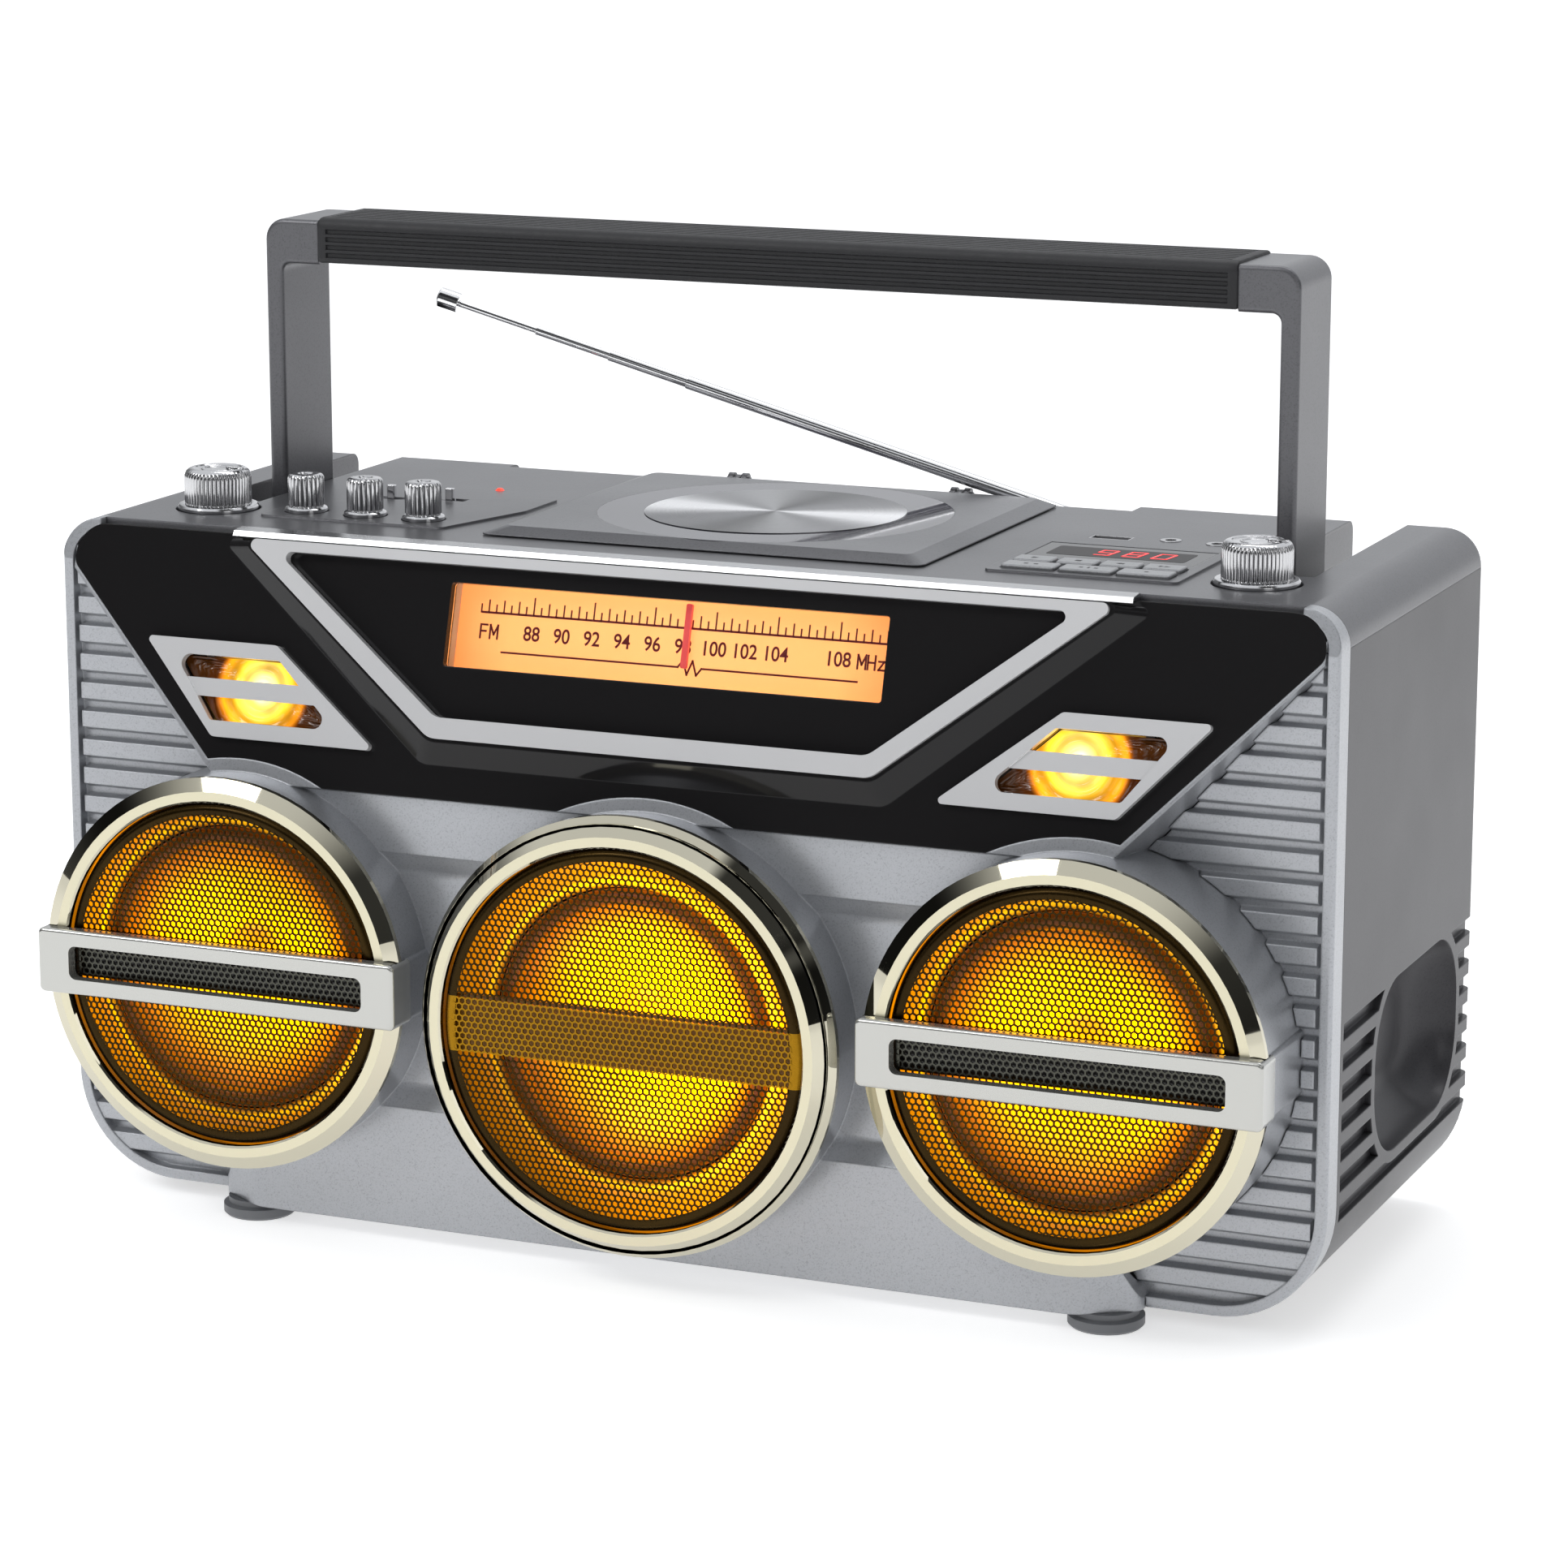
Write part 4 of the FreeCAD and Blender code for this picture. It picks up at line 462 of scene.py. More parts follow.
PAINT_JOBS = {
    "top_cover": SILVER_TOP_PAINTED_SHADE, "front_frame": SILVER, "front_panel": SILVER, "handle_frame": SILVER_TOP_PAINTED_SHADE,
    "rear_cabinet": SILVER_SIDE_PAINTED_SHADE, "battery_door": SILVER_SIDE_PAINTED_SHADE, "fascia": GLOSS,
    "fascia_trim": SATIN_TRIM, "top_trim_strip": STRIP_CHROME, "dial_lens": LENS, "dial_scale": DIAL,
    "dial_light_box": WHITE, "dial_pointer": POINTER, "headlight_bezels": SATIN_TRIM,
    "headlight_reflectors": STEEL, "speaker_rings": RING, "speaker_bars": BAR_CHROME,
    "center_band": AMBER_BAND, "battery_contacts": STEEL, "ac_inlet": BLACK, "case_screws": STEEL,
    "feet": FOOT, "cd_lid": LID_SILVER, "lid_window": SMOKE, "lid_disc": SPUN, "cd_well": BLACK,
    "cd_spindle": BLACK, "cd_mechanism": BLACK, "laser_sled": BLACK, "function_switch": CHROME,
    "band_switch": CHROME, "display_window": GLOSS, "display_module": BOARD_LAMP,
    "top_sockets": STEEL, "circuit_boards": BOARD, "handle_pins": STEEL, "antenna_base": CHROME,
    "antenna_outer": CHROME, "antenna_second": CHROME, "antenna_third": CHROME,
    "antenna_tip": CHROME, "play_button": BUTTON, "stop_button": BUTTON,
    "skip_back_button": BUTTON, "skip_forward_button": BUTTON, "folder_button": BUTTON,
    "program_button": BUTTON, "mode_button": BUTTON,
}


def paint_cad():
    for name, mat in PAINT_JOBS.items():
        data = NODES[name].data
        data.materials.clear()
        data.materials.append(mat)


# ---- mesh helpers ------------------------------------------------------------------
def piece(name, verts, faces, mat, body, sharp_deg=35.0):
    """New mesh object in the row frame, smooth except across sharp edges."""
    mesh = bpy.data.meshes.new(name)
    mesh.from_pydata([tuple(v) for v in verts], [], faces)
    mesh.materials.append(mat)
    mesh.shade_smooth()
    mesh.set_sharp_from_angle(angle=math.radians(sharp_deg))
    obj = bpy.data.objects.new(name, mesh)
    bpy.context.scene.collection.objects.link(obj)
    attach(obj, body)
    return obj


def rows_to_faces(row_count, row_length, closed=False):
    """Quads between rows of points, each row a loop; closed also joins the last row to the first."""
    faces = []
    for row in range(row_count if closed else row_count - 1):
        low = row * row_length
        high = ((row + 1) % row_count) * row_length
        for i in range(row_length):
            j = (i + 1) % row_length
            faces.append((low + i, low + j, high + j, high + i))
    return faces


def lathe(profile, steps, plane, u, v):
    """Points and quads of a closed profile of (radius, w) turned about the plane's normal."""
    verts = []
    for radius, w in profile:
        for step in range(steps):
            turn = 2 * math.pi * step / steps
            verts.append(plane(u + radius * math.cos(turn), v + radius * math.sin(turn), w))
    return verts, rows_to_faces(len(profile), steps, True)


def prism(outline, w0, w1, plane):
    """Points and faces of a flat outline with thickness."""
    count = len(outline)
    verts = [plane(u, v, w0) for u, v in outline] + [plane(u, v, w1) for u, v in outline]
    faces = [tuple(range(count))[::-1], tuple(range(count, 2 * count))]
    faces += rows_to_faces(2, count)
    return verts, faces


def merged(parts):
    """Several (points, faces) pairs as one."""
    verts, faces = [], []
    for more_verts, more_faces in parts:
        shift = len(verts)
        verts += list(more_verts)
        faces += [tuple(i + shift for i in face) for face in more_faces]
    return verts, faces


def rounded_rect(u0, u1, v0, v1, radius):
    steps = 5
    points = []
    for cu, cv, start in ((u1 - radius, v1 - radius, 0), (u0 + radius, v1 - radius, 90),
                          (u0 + radius, v0 + radius, 180), (u1 - radius, v0 + radius, 270)):
        for step in range(steps + 1):
            turn = math.radians(start + 90.0 * step / steps)
            points.append((cu + radius * math.cos(turn), cv + radius * math.sin(turn)))
    return points


def box_mm(name):
    low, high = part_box(name)
    return Vector(low) / MM, Vector(high) / MM


# ---- speakers ----------------------------------------------------------------------
def speaker_front(name):
    """Distance of the ring's flat face in front of the origin, and the mesh's radius, in mm."""
    return CENTER_FRONT if name == "center" else SIDE_FRONT


def hole_grid(x, z, radius, w_front, w_back):
    """Sheet of hexagonal holes with real depth, inside a circle."""
    row_step = MESH_PITCH * math.sqrt(3) / 2
    corner = MESH_PITCH / math.sqrt(3)
    turns = [math.radians(30 + 60 * k) for k in range(6)]
    reach = int(radius / row_step) + 1
    verts, faces, shared = [], [], {}

    def vertex(u, v, w):
        key = (round(u, 2), round(v, 2), w)
        if key not in shared:
            shared[key] = len(verts)
            verts.append(front(u, v, w))
        return shared[key]

    for row in range(-reach, reach + 1):
        for column in range(-reach, reach + 1):
            u = (column + (row % 2) / 2) * MESH_PITCH
            v = row * row_step
            if math.hypot(u, v) > radius - MESH_PITCH * 0.5:
                continue
            loops = []
            for size, w in ((1.0, w_front), (MESH_HOLE, w_front), (MESH_HOLE, w_back), (1.0, w_back)):
                loops.append([vertex(x + u + corner * size * math.cos(t),
                                     z + v + corner * size * math.sin(t), w) for t in turns])
            for outer, inner in zip(loops, loops[1:]):
                for i in range(6):
                    j = (i + 1) % 6
                    faces.append((outer[i], outer[j], inner[j], inner[i]))
    return verts, faces


def grille(name, x, z):
    w, radius = speaker_front(name)
    sheet = hole_grid(x, z, radius - 2.6, w - 1.7, w - 2.25)
    rim = [(radius - 4.4, w - 1.95), (radius - 3.0, w - 1.66), (radius - 2.0, w - 1.9),
           (radius - 0.9, w - 2.7), (radius - 0.1, w - 4.4), (radius, w - 7.9), (radius - 0.5, w - 7.9),
           (radius - 0.6, w - 4.6), (radius - 1.3, w - 3.1), (radius - 2.6, w - 2.4)]
    verts, faces = merged([sheet, lathe(rim, RIM_STEPS, front, x, z)])
    return piece("grille_" + name, verts, faces, MESH if name == "center" else SIDE_MESH, "cabinet")


def slot_backing(side, x, z):
    """Dark strip behind the mesh, seen through the bar's slot."""
    w, radius = speaker_front(side)
    outline = rounded_rect(x - radius + 3.5, x + radius - 3.5, z - 6.0, z + 6.0, 1.0)
    verts, faces = prism(outline, w - 4.4, w - 3.4, front)
    piece("slot_backing_" + side, verts, faces, DARK_BAND, "cabinet")


def cone_profile(w):
    """Dust cap, curved cone and rolled surround, then the back side, as two runs of points."""
    cap = [(13.0 * math.sin(math.radians(a)), w - 13.8 + 5.0 * math.cos(math.radians(a)))
           for a in range(4, 90, 12)]
    flare = [(13.6 + 26.4 * t, w - 16.8 + 14.6 * t ** 0.8) for t in [k / 10 for k in range(11)]]
    roll = [(43.0 - 2.8 * math.cos(math.radians(a)), w - 1.6 + 2.6 * math.sin(math.radians(a)))
            for a in range(12, 180, 14)]
    front_side = cap + flare + roll + [(46.0, w - 0.9)]
    back_side = [(46.0, w - 1.5), (41.0, w - 3.2), (30.0, w - 8.8), (13.8, w - 19.2), (13.6, w - 29.0),
                 (12.8, w - 29.0), (12.6, w - 19.0), (9.0, w - 12.2), (0.9, w - 9.6)]
    return front_side, back_side


def unlit_behind(obj, plane_y):
    """Plain black on the faces behind a plane, so that only the front glows."""
    obj.data.materials.append(BLACK)
    for face in obj.data.polygons:
        if face.center.y > plane_y:
            face.material_index = 1


def cone(name, x, z, mat):
    """Moving cone: the front glows, the back is plain black."""
    w, _ = speaker_front(name)
    front_side, back_side = cone_profile(w - CONE_SET_BACK)
    verts, faces = lathe(front_side + back_side, CONE_STEPS, front, x, z)
    obj = piece("cone_" + name, verts, faces, mat, "speaker_cone_" + name, 50.0)
    obj.data.materials.append(BLACK)
    for face in obj.data.polygons[CONE_STEPS * len(front_side):]:
        face.material_index = 1
    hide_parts("speaker_cone_" + name)


def driver(name, x, z, mat):
    """Basket rim with its ribbed seat, and the magnet behind."""
    w, radius = speaker_front(name)
    w -= CONE_SET_BACK
    rim = [(46.7, w + 0.2), (47.6, w + 1.0), (50.5, w + 0.4), (52.0, w + 1.2), (54.0, w + 0.4),
           (radius + 0.8, w + 1.0), (radius + 2.3, w + 1.0), (radius + 2.3, w - 2.0), (51.0, w - 2.0),
           (29.0, w - 30.0), (29.0, w - 32.0), (15.0, w - 32.0), (15.0, w - 30.5), (27.0, w - 30.5),
           (48.5, w - 3.0), (46.7, w - 1.5)]
    magnet = [(0.5, w - 32.0), (31.0, w - 32.0), (32.0, w - 33.0), (32.0, w - 46.0),
              (30.0, w - 48.0), (0.5, w - 48.0)]
    verts, faces = merged([lathe(rim, CONE_STEPS, front, x, z), lathe(magnet, 64, front, x, z)])
    obj = piece("driver_" + name, verts, faces, mat, "cabinet")
    unlit_behind(obj, (1.0 - w) * MM)
    return obj


def build_speakers():
    grilles, drivers = [], []
    for name, x, z in SPEAKERS:
        light = CENTER_LIGHT if name == "center" else SIDE_LIGHT
        mat = lit_cone("lit_" + name, x, z, *light)
        cone(name, x, z, mat)
        drivers.append(driver(name, x, z, mat))
        grilles.append(grille(name, x, z))
        if name != "center":
            slot_backing(name, x, z)
    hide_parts("speaker_grilles")
    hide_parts("speaker_drivers")


# ---- headlights --------------------------------------------------------------------
def reach(outline, centre, turn):
    """Distance from a point inside an outline to its edge, in the direction of turn."""
    aim = Vector((math.cos(turn), math.sin(turn)))
    best = 1e9
    for index, corner in enumerate(outline):
        start = Vector(corner) - Vector(centre)
        edge = Vector(outline[(index + 1) % len(outline)]) - Vector(corner)
        across = aim.x * edge.y - aim.y * edge.x
        if abs(across) < 1e-9:
            continue
        distance = (start.x * edge.y - start.y * edge.x) / across
        along = (start.x * aim.y - start.y * aim.x) / across
        if distance > 0 and -1e-6 <= along <= 1 + 1e-6:
            best = min(best, distance)
    return best


def lens_body(side):
    """Plate that fills the lamp's opening, with round ridges moulded into its front."""
    outline = [(side * u, v) for u, v in LAMP_CORNERS]
    centre = (side * LAMP_CENTRE[0], LAMP_CENTRE[1])
    turns = [2 * math.pi * k / LENS_TURNS for k in range(LENS_TURNS)]
    limits = [reach(outline, centre, turn) for turn in turns]
    verts = []
    for step in range(1, LENS_RINGS + 1):
        for turn, limit in zip(turns, limits):
            r = limit * step / LENS_RINGS
            ridge = 0.45 * math.cos(r * 1.9) * min(1.0, (LENS_RINGS - step) / 6.0)
            verts.append(slope(centre[0] + r * math.cos(turn), centre[1] + r * math.sin(turn),
                               -1.9 + ridge))
    for turn, limit in zip(turns, limits):
        verts.append(slope(centre[0] + limit * math.cos(turn), centre[1] + limit * math.sin(turn), -2.9))
    faces = rows_to_faces(LENS_RINGS + 1, LENS_TURNS)
    faces.append(tuple(range(LENS_TURNS))[::-1])
    faces.append(tuple(range(len(verts) - LENS_TURNS, len(verts))))
    return verts, faces


def build_headlights():
    """Lens plates with rings moulded in; each glows by itself, as if the bulb lit it."""
    for side, name in ((-1, "left"), (1, "right")):
        verts, faces = lens_body(side)
        obj = piece("lamp_lens_" + name, verts, faces, lamp_lens("lamp_lens_" + name, side), "cabinet",
                    60.0)
        if side < 0:
            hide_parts("headlight_lenses")


# ---- dial --------------------------------------------------------------------------
def lettering(text, size_mm):
    """Points and faces of plain sans-serif text, lying in the (u, v) plane, centred, in mm."""
    curve = bpy.data.curves.new("text", "FONT")
    curve.body = text
    curve.size = size_mm
    curve.offset = 0.014 * size_mm
    curve.align_x = "CENTER"
    curve.align_y = "CENTER"
    holder = bpy.data.objects.new("text", curve)
    bpy.context.scene.collection.objects.link(holder)
    bpy.context.view_layer.update()
    mesh = bpy.data.meshes.new_from_object(holder)
    flat = [(v.co.x, v.co.y) for v in mesh.vertices]
    faces = [tuple(face.vertices) for face in mesh.polygons]
    bpy.data.objects.remove(holder)
    bpy.data.curves.remove(curve)
    bpy.data.meshes.remove(mesh)
    return flat, faces


def printed(text, size_mm, u, v, w, plane):
    flat, faces = lettering(text, size_mm)
    return [plane(u + a * 0.9, v + b, w) for a, b in flat], faces


def stroke(points, width, w, plane):
    """Flat line through the points, as thin raised bars."""
    parts = []
    for (u0, v0), (u1, v1) in zip(points, points[1:]):
        along = Vector((u1 - u0, v1 - v0)).normalized() * width / 2
        across = Vector((-along.y, along.x))
        a, b = Vector((u0, v0)) - along, Vector((u1, v1)) + along
        parts.append(prism([a - across, b - across, b + across, a + across], w, w + 0.06, plane))
    return merged(parts)


LETTERS = {
    "F": [[(0, 0), (0, 1), (0.85, 1)], [(0, 0.52), (0.7, 0.52)]],
    "M": [[(0, 0), (0, 1), (0.5, 0.3), (1, 1), (1, 0)]],
    "H": [[(0, 0), (0, 1)], [(0.9, 0), (0.9, 1)], [(0, 0.5), (0.9, 0.5)]],
    "z": [[(0.1, 0.62), (0.75, 0.62), (0.1, 0), (0.75, 0)]],
}


def plain_word(word, u, v, w, height):
    """Upright letters made of straight strokes, from u to the right, centred on v."""
    parts = []
    for index, letter in enumerate(word):
        for path in LETTERS[letter]:
            points = [(u + (index * 1.28 + a) * height * 0.62, v + (b - 0.5) * height) for a, b in path]
            parts.append(stroke(points, height * 0.15, w, slope))
    return merged(parts)


def dial_u(frequency):
    return DIAL_FIRST[1] + (frequency - DIAL_FIRST[0]) * DIAL_MM_PER_MHZ


def build_dial():
    """Scale line with ticks, plain numbers and a lower line with a small zigzag."""
    face, line_v, number_v, lower_v = -7.38, 16.6, 10.6, 4.4
    marks = [stroke([(-66.0, line_v), (71.0, line_v)], 0.7, face, slope)]
    for half_mhz in range(169, 223):
        u = dial_u(half_mhz / 2)
        height = 5.4 if half_mhz % 8 == 0 else (3.8 if half_mhz % 2 == 0 else 2.4)
        if -66.5 < u < 71.5:
            marks.append(stroke([(u, line_v), (u, line_v + height)], 0.5, face, slope))
    for frequency in (88, 90, 92, 94, 96, 98, 100, 102, 104, 108):
        marks.append(printed(str(frequency), 6.4, dial_u(frequency), number_v, face + 0.05, slope))
    marks.append(plain_word("FM", -66.0, number_v, face, 4.2))
    marks.append(plain_word("MHz", 61.6, number_v, face, 4.2))
    middle = dial_u(98) + 3.0
    zigzag = [(-58.0, lower_v), (middle - 4.0, lower_v), (middle - 2.4, lower_v + 2.2),
              (middle - 0.8, lower_v - 2.2), (middle + 0.8, lower_v + 2.2),
              (middle + 2.4, lower_v - 2.2), (middle + 4.0, lower_v), (62.0, lower_v)]
    marks.append(stroke(zigzag, 0.6, face, slope))
    verts, faces = merged(marks)
    obj = piece("dial_marks", verts, faces, INK, "cabinet")


# ---- display and key symbols ---------------------------------------------------------
SEGMENTS = {"a": ((0, 2), (1, 2)), "b": ((1, 2), (1, 1)), "c": ((1, 1), (1, 0)), "d": ((0, 0), (1, 0)),
            "e": ((0, 1), (0, 0)), "f": ((0, 2), (0, 1)), "g": ((0, 1), (1, 1))}
DIGIT_SHAPES = {"0": "abcdef", "8": "abcdefg", "9": "abcfgd"}


def digit_strokes(digit, u, v, width, height, w):
    parts = []
    for name in DIGIT_SHAPES[digit]:
        (a, b), (c, d) = SEGMENTS[name]
        start = Vector((u + a * width + (b * height / 2) * 0.12, v + b * height / 2))
        end = Vector((u + c * width + (d * height / 2) * 0.12, v + d * height / 2))
        gap = (end - start) * 0.10
        parts.append(stroke([start + gap, end - gap], 0.85, w, level))
    return parts


def build_display():
    low, high = box_mm("display_window")
    middle = (low + high) / 2
    outline = rounded_rect(low.x + 5.0, high.x - 5.0, low.y + 6.0, high.y - 5.0, 1.2)
    verts, faces = prism(outline, high.z - 0.02, high.z + 0.05, level)
    obj = piece("display_inner", verts, faces, DIGIT_OFF, "cabinet")
    parts = []
    for index, digit in enumerate("980"):
        u = middle.x - 8.0 + index * 9.4
        parts += digit_strokes(digit, u, middle.y - 3.6, 4.8, 8.2, high.z + 0.05)
    verts, faces = merged(parts)
    obj = piece("display_digits", verts, faces, DIGIT, "cabinet")


def triangle(u, v, size):
    return [(u - size * 0.5, v - size * 0.6), (u + size * 0.5, v), (u - size * 0.5, v + size * 0.6)]


def square(u, v, size):
    return [(u - size / 2, v - size / 2), (u + size / 2, v - size / 2), (u + size / 2, v + size / 2),
            (u - size / 2, v + size / 2)]


def flipped(outline, u):
    return [(2 * u - a, b) for a, b in reversed(outline)]


def key_symbols(name, u, v):
    """Plain transport symbols that any player carries."""
    bar = [(u - 0.3, v - 1.0), (u + 0.3, v - 1.0), (u + 0.3, v + 1.0), (u - 0.3, v + 1.0)]
    shapes = {
        "play_button": [triangle(u, v, 2.2)],
        "stop_button": [square(u, v, 1.9)],
        "skip_back_button": [flipped(triangle(u + 1.0, v, 1.7), u + 0.5),
                             flipped(triangle(u - 0.8, v, 1.7), u - 0.9)],
        "skip_forward_button": [triangle(u - 1.0, v, 1.7), triangle(u + 0.9, v, 1.7)],
        "folder_button": [square(u - 1.6, v, 1.3), square(u + 1.6, v, 1.3)],
        "program_button": [bar, square(u + 2.4, v, 1.2), square(u - 2.4, v, 1.2)],
        "mode_button": [square(u, v, 1.2)],
    }
    return shapes[name]


def build_keys():
    for name in NODES:
        if not name.endswith("_button"):
            continue
        low, high = box_mm(name)
        middle = (low + high) / 2
        parts = [prism(outline, high.z - 0.02, high.z + 0.03, level)
                 for outline in key_symbols(name, middle.x, middle.y)]
        verts, faces = merged(parts)
        obj = piece(name.replace("button", "symbol"), verts, faces, PRINT, name)


# ---- knobs ---------------------------------------------------------------------------
def fluted(x, y, rows, flutes, depth):
    """Turned shape whose rows of (radius, z, how much fluting) carry rounded grooves."""
    steps = flutes * PER_FLUTE
    verts = []
    for radius, z, amount in rows:
        for step in range(steps):
            turn = 2 * math.pi * step / steps
            groove = depth * amount * (0.5 - 0.5 * math.cos(flutes * turn)) ** 1.6
            verts.append(level(x + (radius - groove) * math.cos(turn),
                               y + (radius - groove) * math.sin(turn), z))
    faces = rows_to_faces(len(rows), steps)
    faces.append(tuple(range(steps))[::-1])
    faces.append(tuple(range(len(verts) - steps, len(verts))))
    return verts, faces


def shade_grooves(obj, rows, flutes):
    """Gives the bottoms of the flutes a darker chrome: painted shade and painted dark reflection in the
    valleys.
    """
    obj.data.materials.append(GROOVE_PAINTED_SHADE)
    steps = flutes * PER_FLUTE
    for row, (first, second) in enumerate(zip(rows, rows[1:])):
        if first[2] < 0.6 or second[2] < 0.6:
            continue
        for step in range(steps):
            if step % PER_FLUTE in (3, 4):
                obj.data.polygons[row * steps + step].material_index = 1


def big_knob(node):
    low, high = box_mm(node)
    x, y = (low.x + high.x) / 2, (low.y + high.y) / 2
    skirt, top = 13.2, high.z - 0.5
    deck = high.z - 13.9
    rows = [(0.6, low.z, 0), (3.0, low.z, 0), (3.0, deck - 1.6, 0), (skirt, deck - 1.6, 0),
            (skirt, deck + 0.9, 0), (skirt - 0.5, deck + 1.6, 0), (11.4, deck + 1.9, 0),
            (10.7, deck + 1.7, 0.4), (10.9, deck + 2.2, 1), (10.9, top - 3.0, 1), (10.8, top - 2.2, 0.7),
            (10.3, top - 1.0, 0.15), (9.6, top - 0.35, 0), (8.8, top, 0), (7.9, top, 0),
            (7.6, top - 0.35, 0), (7.2, top - 0.5, 0), (5.4, top - 0.5, 0), (5.2, top - 0.25, 0),
            (4.7, top - 0.2, 0), (4.4, top - 0.5, 0), (0.6, top - 0.6, 0)]
    knob = fluted(x, y, rows, BIG_FLUTES, 0.75)
    bar = prism(rounded_rect(x + 3.2, x + 9.6, y - 0.75, y + 0.75, 0.7), top - 0.6, top + 0.5, level)
    verts, faces = merged([knob, bar])
    obj = piece(node + "_fluted", verts, faces, KNOB_CHROME, node, 28.0)
    shade_grooves(obj, rows, BIG_FLUTES)
    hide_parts(node)


def small_knob(node):
    low, high = box_mm(node)
    x, y = (low.x + high.x) / 2, (low.y + high.y) / 2
    top = high.z
    deck = top - 13.0
    rows = [(0.4, low.z, 0), (2.5, low.z, 0), (2.5, deck - 1.2, 0), (6.9, deck - 1.2, 0),
            (6.9, deck + 1.7, 0), (6.6, deck + 2.1, 0), (6.0, deck + 2.4, 0), (5.6, deck + 2.5, 0.3),
            (5.95, deck + 3.0, 1), (5.95, top - 1.6, 1), (5.8, top - 0.9, 0.6), (5.3, top - 0.3, 0.1),
            (4.6, top, 0), (2.6, top, 0), (2.2, top - 0.5, 0), (1.2, top - 0.5, 0), (0.8, top - 0.2, 0),
            (0.4, top - 0.15, 0)]
    verts, faces = fluted(x, y, rows, SMALL_FLUTES, 0.6)
    obj = piece(node + "_fluted", verts, faces, KNOB_CHROME, node, 28.0)
    shade_grooves(obj, rows, SMALL_FLUTES)
    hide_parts(node)


def build_knobs():
    for node in ("volume_knob", "tuning_knob"):
        big_knob(node)
    for node in ("bass_knob", "treble_knob", "balance_knob"):
        small_knob(node)


# ---- handle grip ---------------------------------------------------------------------
def groove_points(start, end, count, depth, inward):
    """Points along one face of the grip, dipping into evenly spaced grooves."""
    points = []
    span = Vector(end) - Vector(start)
    half = 0.55 / span.length
    for index in range(count):
        middle = (index + 0.5) / count
        for offset, dip in ((-half * 1.5, 0), (-half, 1), (half, 1), (half * 1.5, 0)):
            points.append(Vector(start) + span * (middle + offset) + Vector(inward) * depth * dip)
    return points


def grip_section(depth):
    """Cross-section (y, z) of the grip, in mm: grooves on the front, top and back."""
    low, high = box_mm("handle_grip")
    y0, y1, z0, z1 = low.y, high.y, low.z, high.z
    corner, lower = 3.2, 1.4
    points = []
    points += [Vector((y0 + lower, z0)), Vector((y0 + 0.4, z0 + 0.4)), Vector((y0, z0 + lower))]
    points += groove_points((y0, z0 + lower), (y0, z1 - corner), 4, depth, (1, 0))
    for step in range(6):
        turn = math.radians(180 - 18 * step)
        points.append(Vector((y0 + corner + corner * math.cos(turn), z1 - corner + corner * math.sin(turn))))
    points += groove_points((y0 + corner, z1), (y1 - corner, z1), 9, depth * 0.6, (0, -1))
    for step in range(6):
        turn = math.radians(90 - 18 * step)
        points.append(Vector((y1 - corner + corner * math.cos(turn), z1 - corner + corner * math.sin(turn))))
    points += groove_points((y1, z1 - corner), (y1, z0 + lower), 4, depth, (-1, 0))
    points += [Vector((y1, z0 + lower)), Vector((y1 - 0.4, z0 + 0.4)), Vector((y1 - lower, z0))]
    return points


def build_grip():
    low, high = box_mm("handle_grip")
    y_mid, z_mid = (low.y + high.y) / 2, (low.z + high.z) / 2
    border = 3.2
    stations = [(low.x + 0.02, 0.0, 0.88), (low.x + 0.35, 0.0, 0.97), (low.x + 0.9, 0.0, 1.0),
                (low.x + border, 0.0, 1.0), (low.x + border + 0.3, 0.8, 1.0)]
    stations += [(-x, depth, size) for x, depth, size in reversed(stations)]
    verts = []
    for x, depth, size in stations:
        for point in grip_section(depth):
            verts.append(level(x, y_mid + (point.x - y_mid) * (1 - (1 - size) * 0.35),
                               z_mid + (point.y - z_mid) * size))
    count = len(grip_section(0.0))
    faces = rows_to_faces(len(stations), count)
    faces.append(tuple(range(count))[::-1])
    faces.append(tuple(range(len(verts) - count, len(verts))))
    obj = piece("ribbed_grip", verts, faces, RUBBER, "handle", 30.0)
    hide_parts("handle_grip")


# ---- stage, light and camera -----------------------------------------------------------
def area_light(name, location, size, energy):
    """Rectangular lamp that aims at the middle of the player."""
    data = bpy.data.lights.new(name, "AREA")
    data.shape = "RECTANGLE"
    data.size, data.size_y = size
    data.energy = energy
    obj = bpy.data.objects.new(name, data)
    obj.location = location
    obj.rotation_euler = (Vector(LIGHT_TARGET) - Vector(location)).to_track_quat("-Z", "Y").to_euler()
    bpy.context.scene.collection.objects.link(obj)


def world_node(tree, operation, first, second):
    """Math node of the sky's tree."""
    node = tree.nodes.new("ShaderNodeMath")
    node.operation = operation
    for socket, value in zip(node.inputs, (first, second)):
        if isinstance(value, (int, float)):
            socket.default_value = value
        else:
            tree.links.new(value, socket)
    return node.outputs[0]


def world_step(tree, value, low, high, at_low, at_high):
    """Smooth change between two values of a direction's coordinate."""
    node = tree.nodes.new("ShaderNodeMapRange")
    node.interpolation_type = "SMOOTHSTEP"
    for socket, number in zip(("From Min", "From Max", "To Min", "To Max"),
                              (low, high, at_low, at_high)):
        node.inputs[socket].default_value = number
    tree.links.new(value, node.inputs["Value"])
    return node.outputs["Result"]


def world_flag(tree, axes):
    """Dark round flag in one direction of the sky."""
    parts = [world_node(tree, "MULTIPLY", axes.outputs[axis], value)
             for axis, value in zip("XYZ", FLAG_TOWARDS)]
    near = world_node(tree, "ADD", world_node(tree, "ADD", parts[0], parts[1]), parts[2])
    return world_step(tree, near, *FLAG_COSINES, 1.0, FLAG_LEVEL)


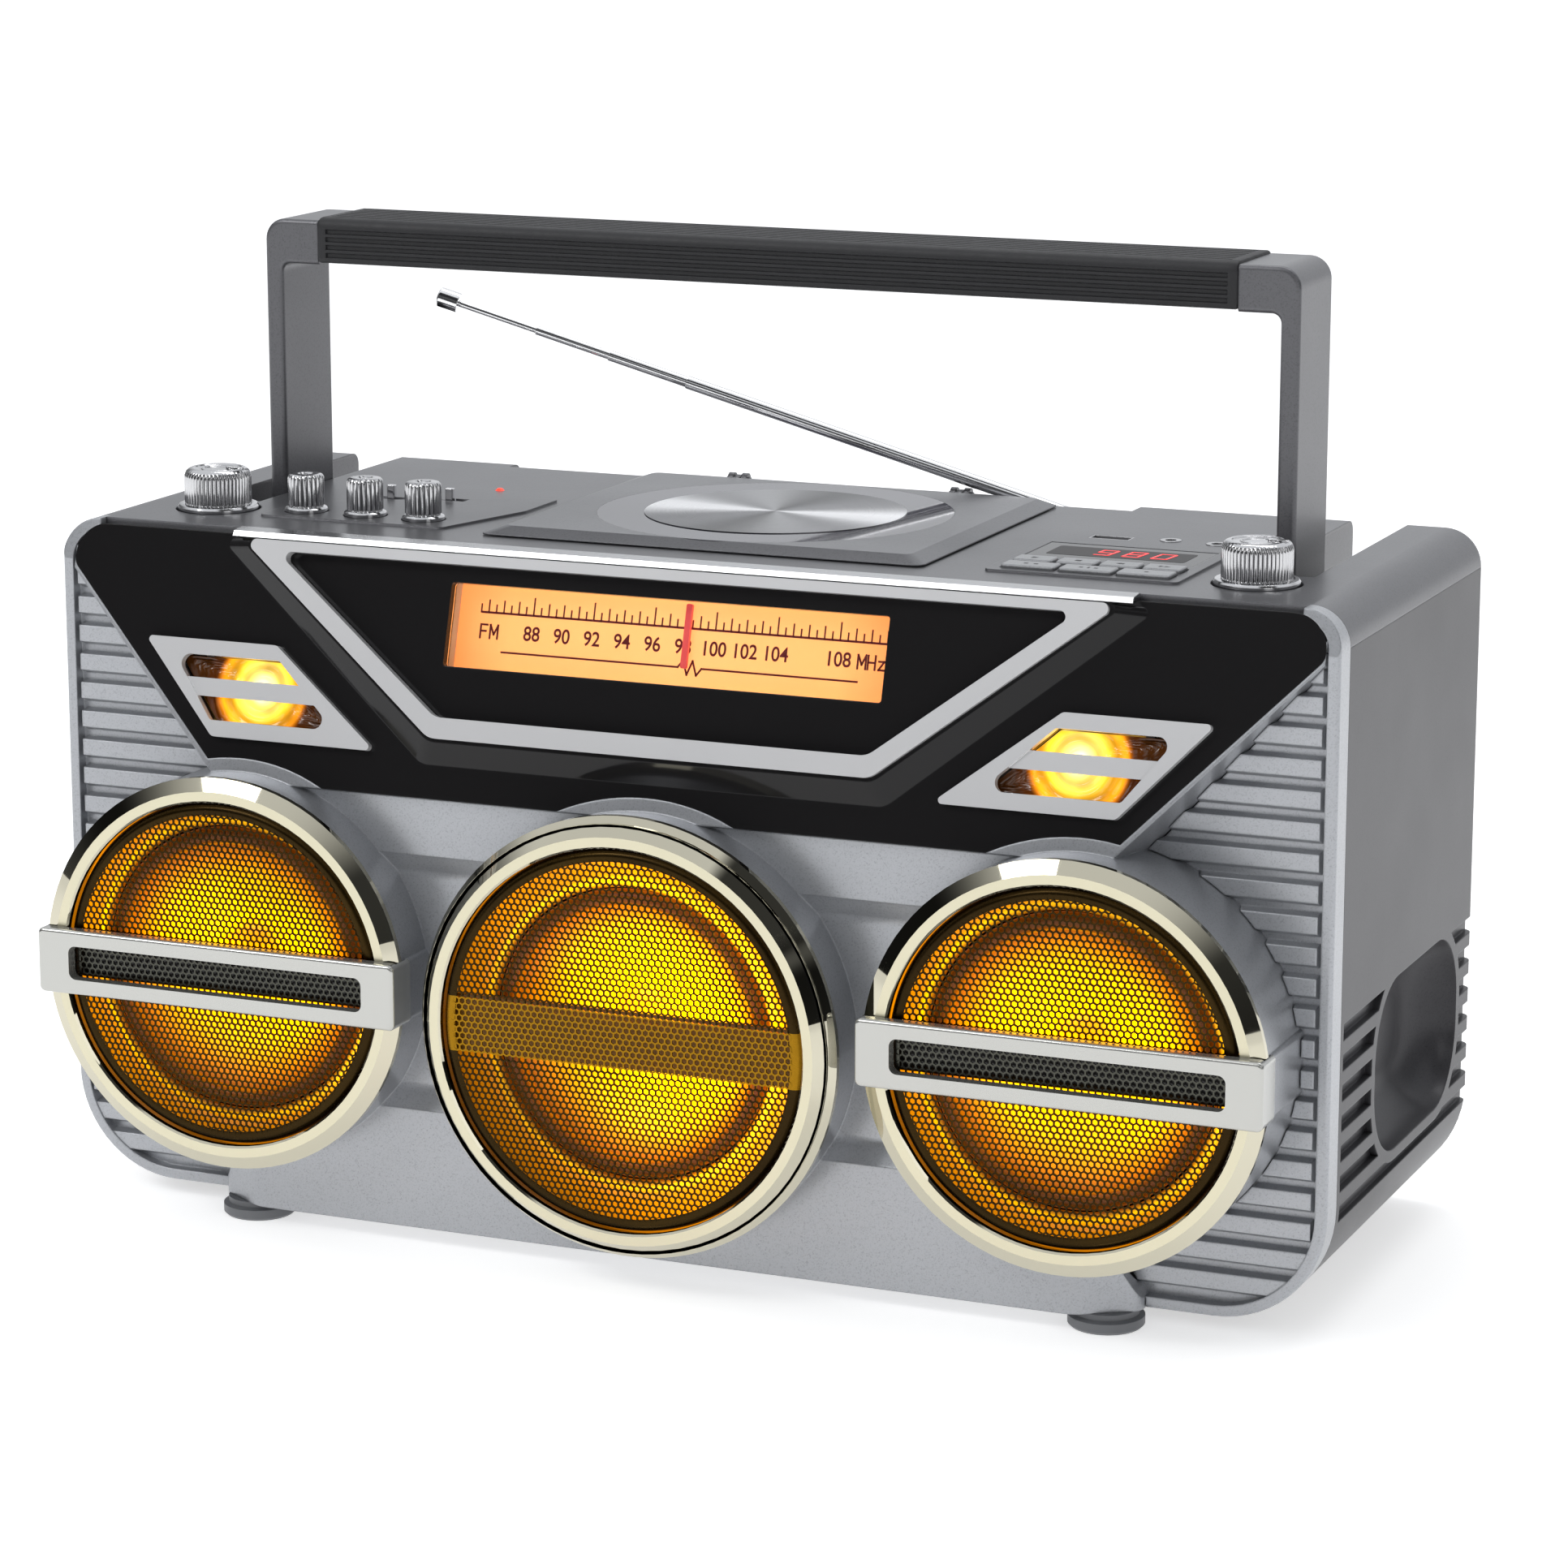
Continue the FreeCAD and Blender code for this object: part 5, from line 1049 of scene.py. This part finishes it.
def build_world():
    """Studio sky: bright overhead and behind, dark low in front and at the sides, one dark flag."""
    world = bpy.data.worlds.new("studio")
    world.use_nodes = True
    tree = world.node_tree
    coords = tree.nodes.new("ShaderNodeTexCoord")
    axes = tree.nodes.new("ShaderNodeSeparateXYZ")
    tree.links.new(coords.outputs["Generated"], axes.inputs["Vector"])
    in_front = world_step(tree, axes.outputs["Y"], -0.35, 0.05, 1.0, 0.0)
    low_down = world_step(tree, axes.outputs["Z"], 0.30, 0.62, 1.0, 0.0)
    dark = world_node(tree, "MULTIPLY", in_front, low_down)
    lit = world_node(tree, "SUBTRACT", SKY_LEVEL, world_node(tree, "MULTIPLY", dark, SKY_DROP))
    aside = world_step(tree, world_node(tree, "ABSOLUTE", axes.outputs["X"], 0.0), 0.35, 0.75, 0.0, 0.8)
    side = world_node(tree, "SUBTRACT", 1.0, world_node(tree, "MULTIPLY", aside, low_down))
    side = world_node(tree, "MULTIPLY", side, world_flag(tree, axes))
    background = tree.nodes["Background"]
    background.inputs["Color"].default_value = (0.95, 0.97, 1.0, 1.0)
    tree.links.new(world_node(tree, "MULTIPLY", lit, side), background.inputs["Strength"])
    bpy.context.scene.world = world


def build_stage():
    half = 30.0
    mesh = bpy.data.meshes.new("floor")
    mesh.from_pydata([(-half, -half, 0), (half, -half, 0), (half, half, 0), (-half, half, 0)], [],
                     [(0, 1, 2, 3)])
    pale = material("pale_floor", (0.80, 0.80, 0.80), 0.7, Emission_Strength=FLOOR_GLOW)
    shader_of(pale).inputs["Emission Color"].default_value = (1.0, 1.0, 1.0, 1.0)
    mesh.materials.append(pale)
    floor = bpy.data.objects.new("floor", mesh)
    bpy.context.scene.collection.objects.link(floor)
    build_world()
    for light in LIGHTS:
        area_light(*light)


def build_camera():
    """Long lens in front, a little to the right and above, as in the product view."""
    data = bpy.data.cameras.new("camera")
    data.lens = CAMERA_LENS
    data.sensor_width = 36.0
    data.clip_end = 200.0
    camera = bpy.data.objects.new("camera", data)
    camera.location = CAMERA_PLACE
    level_part = math.cos(CAMERA_PITCH)
    look = Vector((-math.sin(CAMERA_YAW) * level_part, math.cos(CAMERA_YAW) * level_part,
                   -math.sin(CAMERA_PITCH)))
    camera.rotation_euler = look.to_track_quat("-Z", "Y").to_euler()
    bpy.context.scene.collection.objects.link(camera)
    bpy.context.scene.camera = camera
    bpy.context.scene.view_settings.view_transform = "Standard"


build_camera()
build_stage()
paint_cad()
build_speakers()
build_headlights()
build_dial()
build_display()
build_keys()
build_knobs()
build_grip()
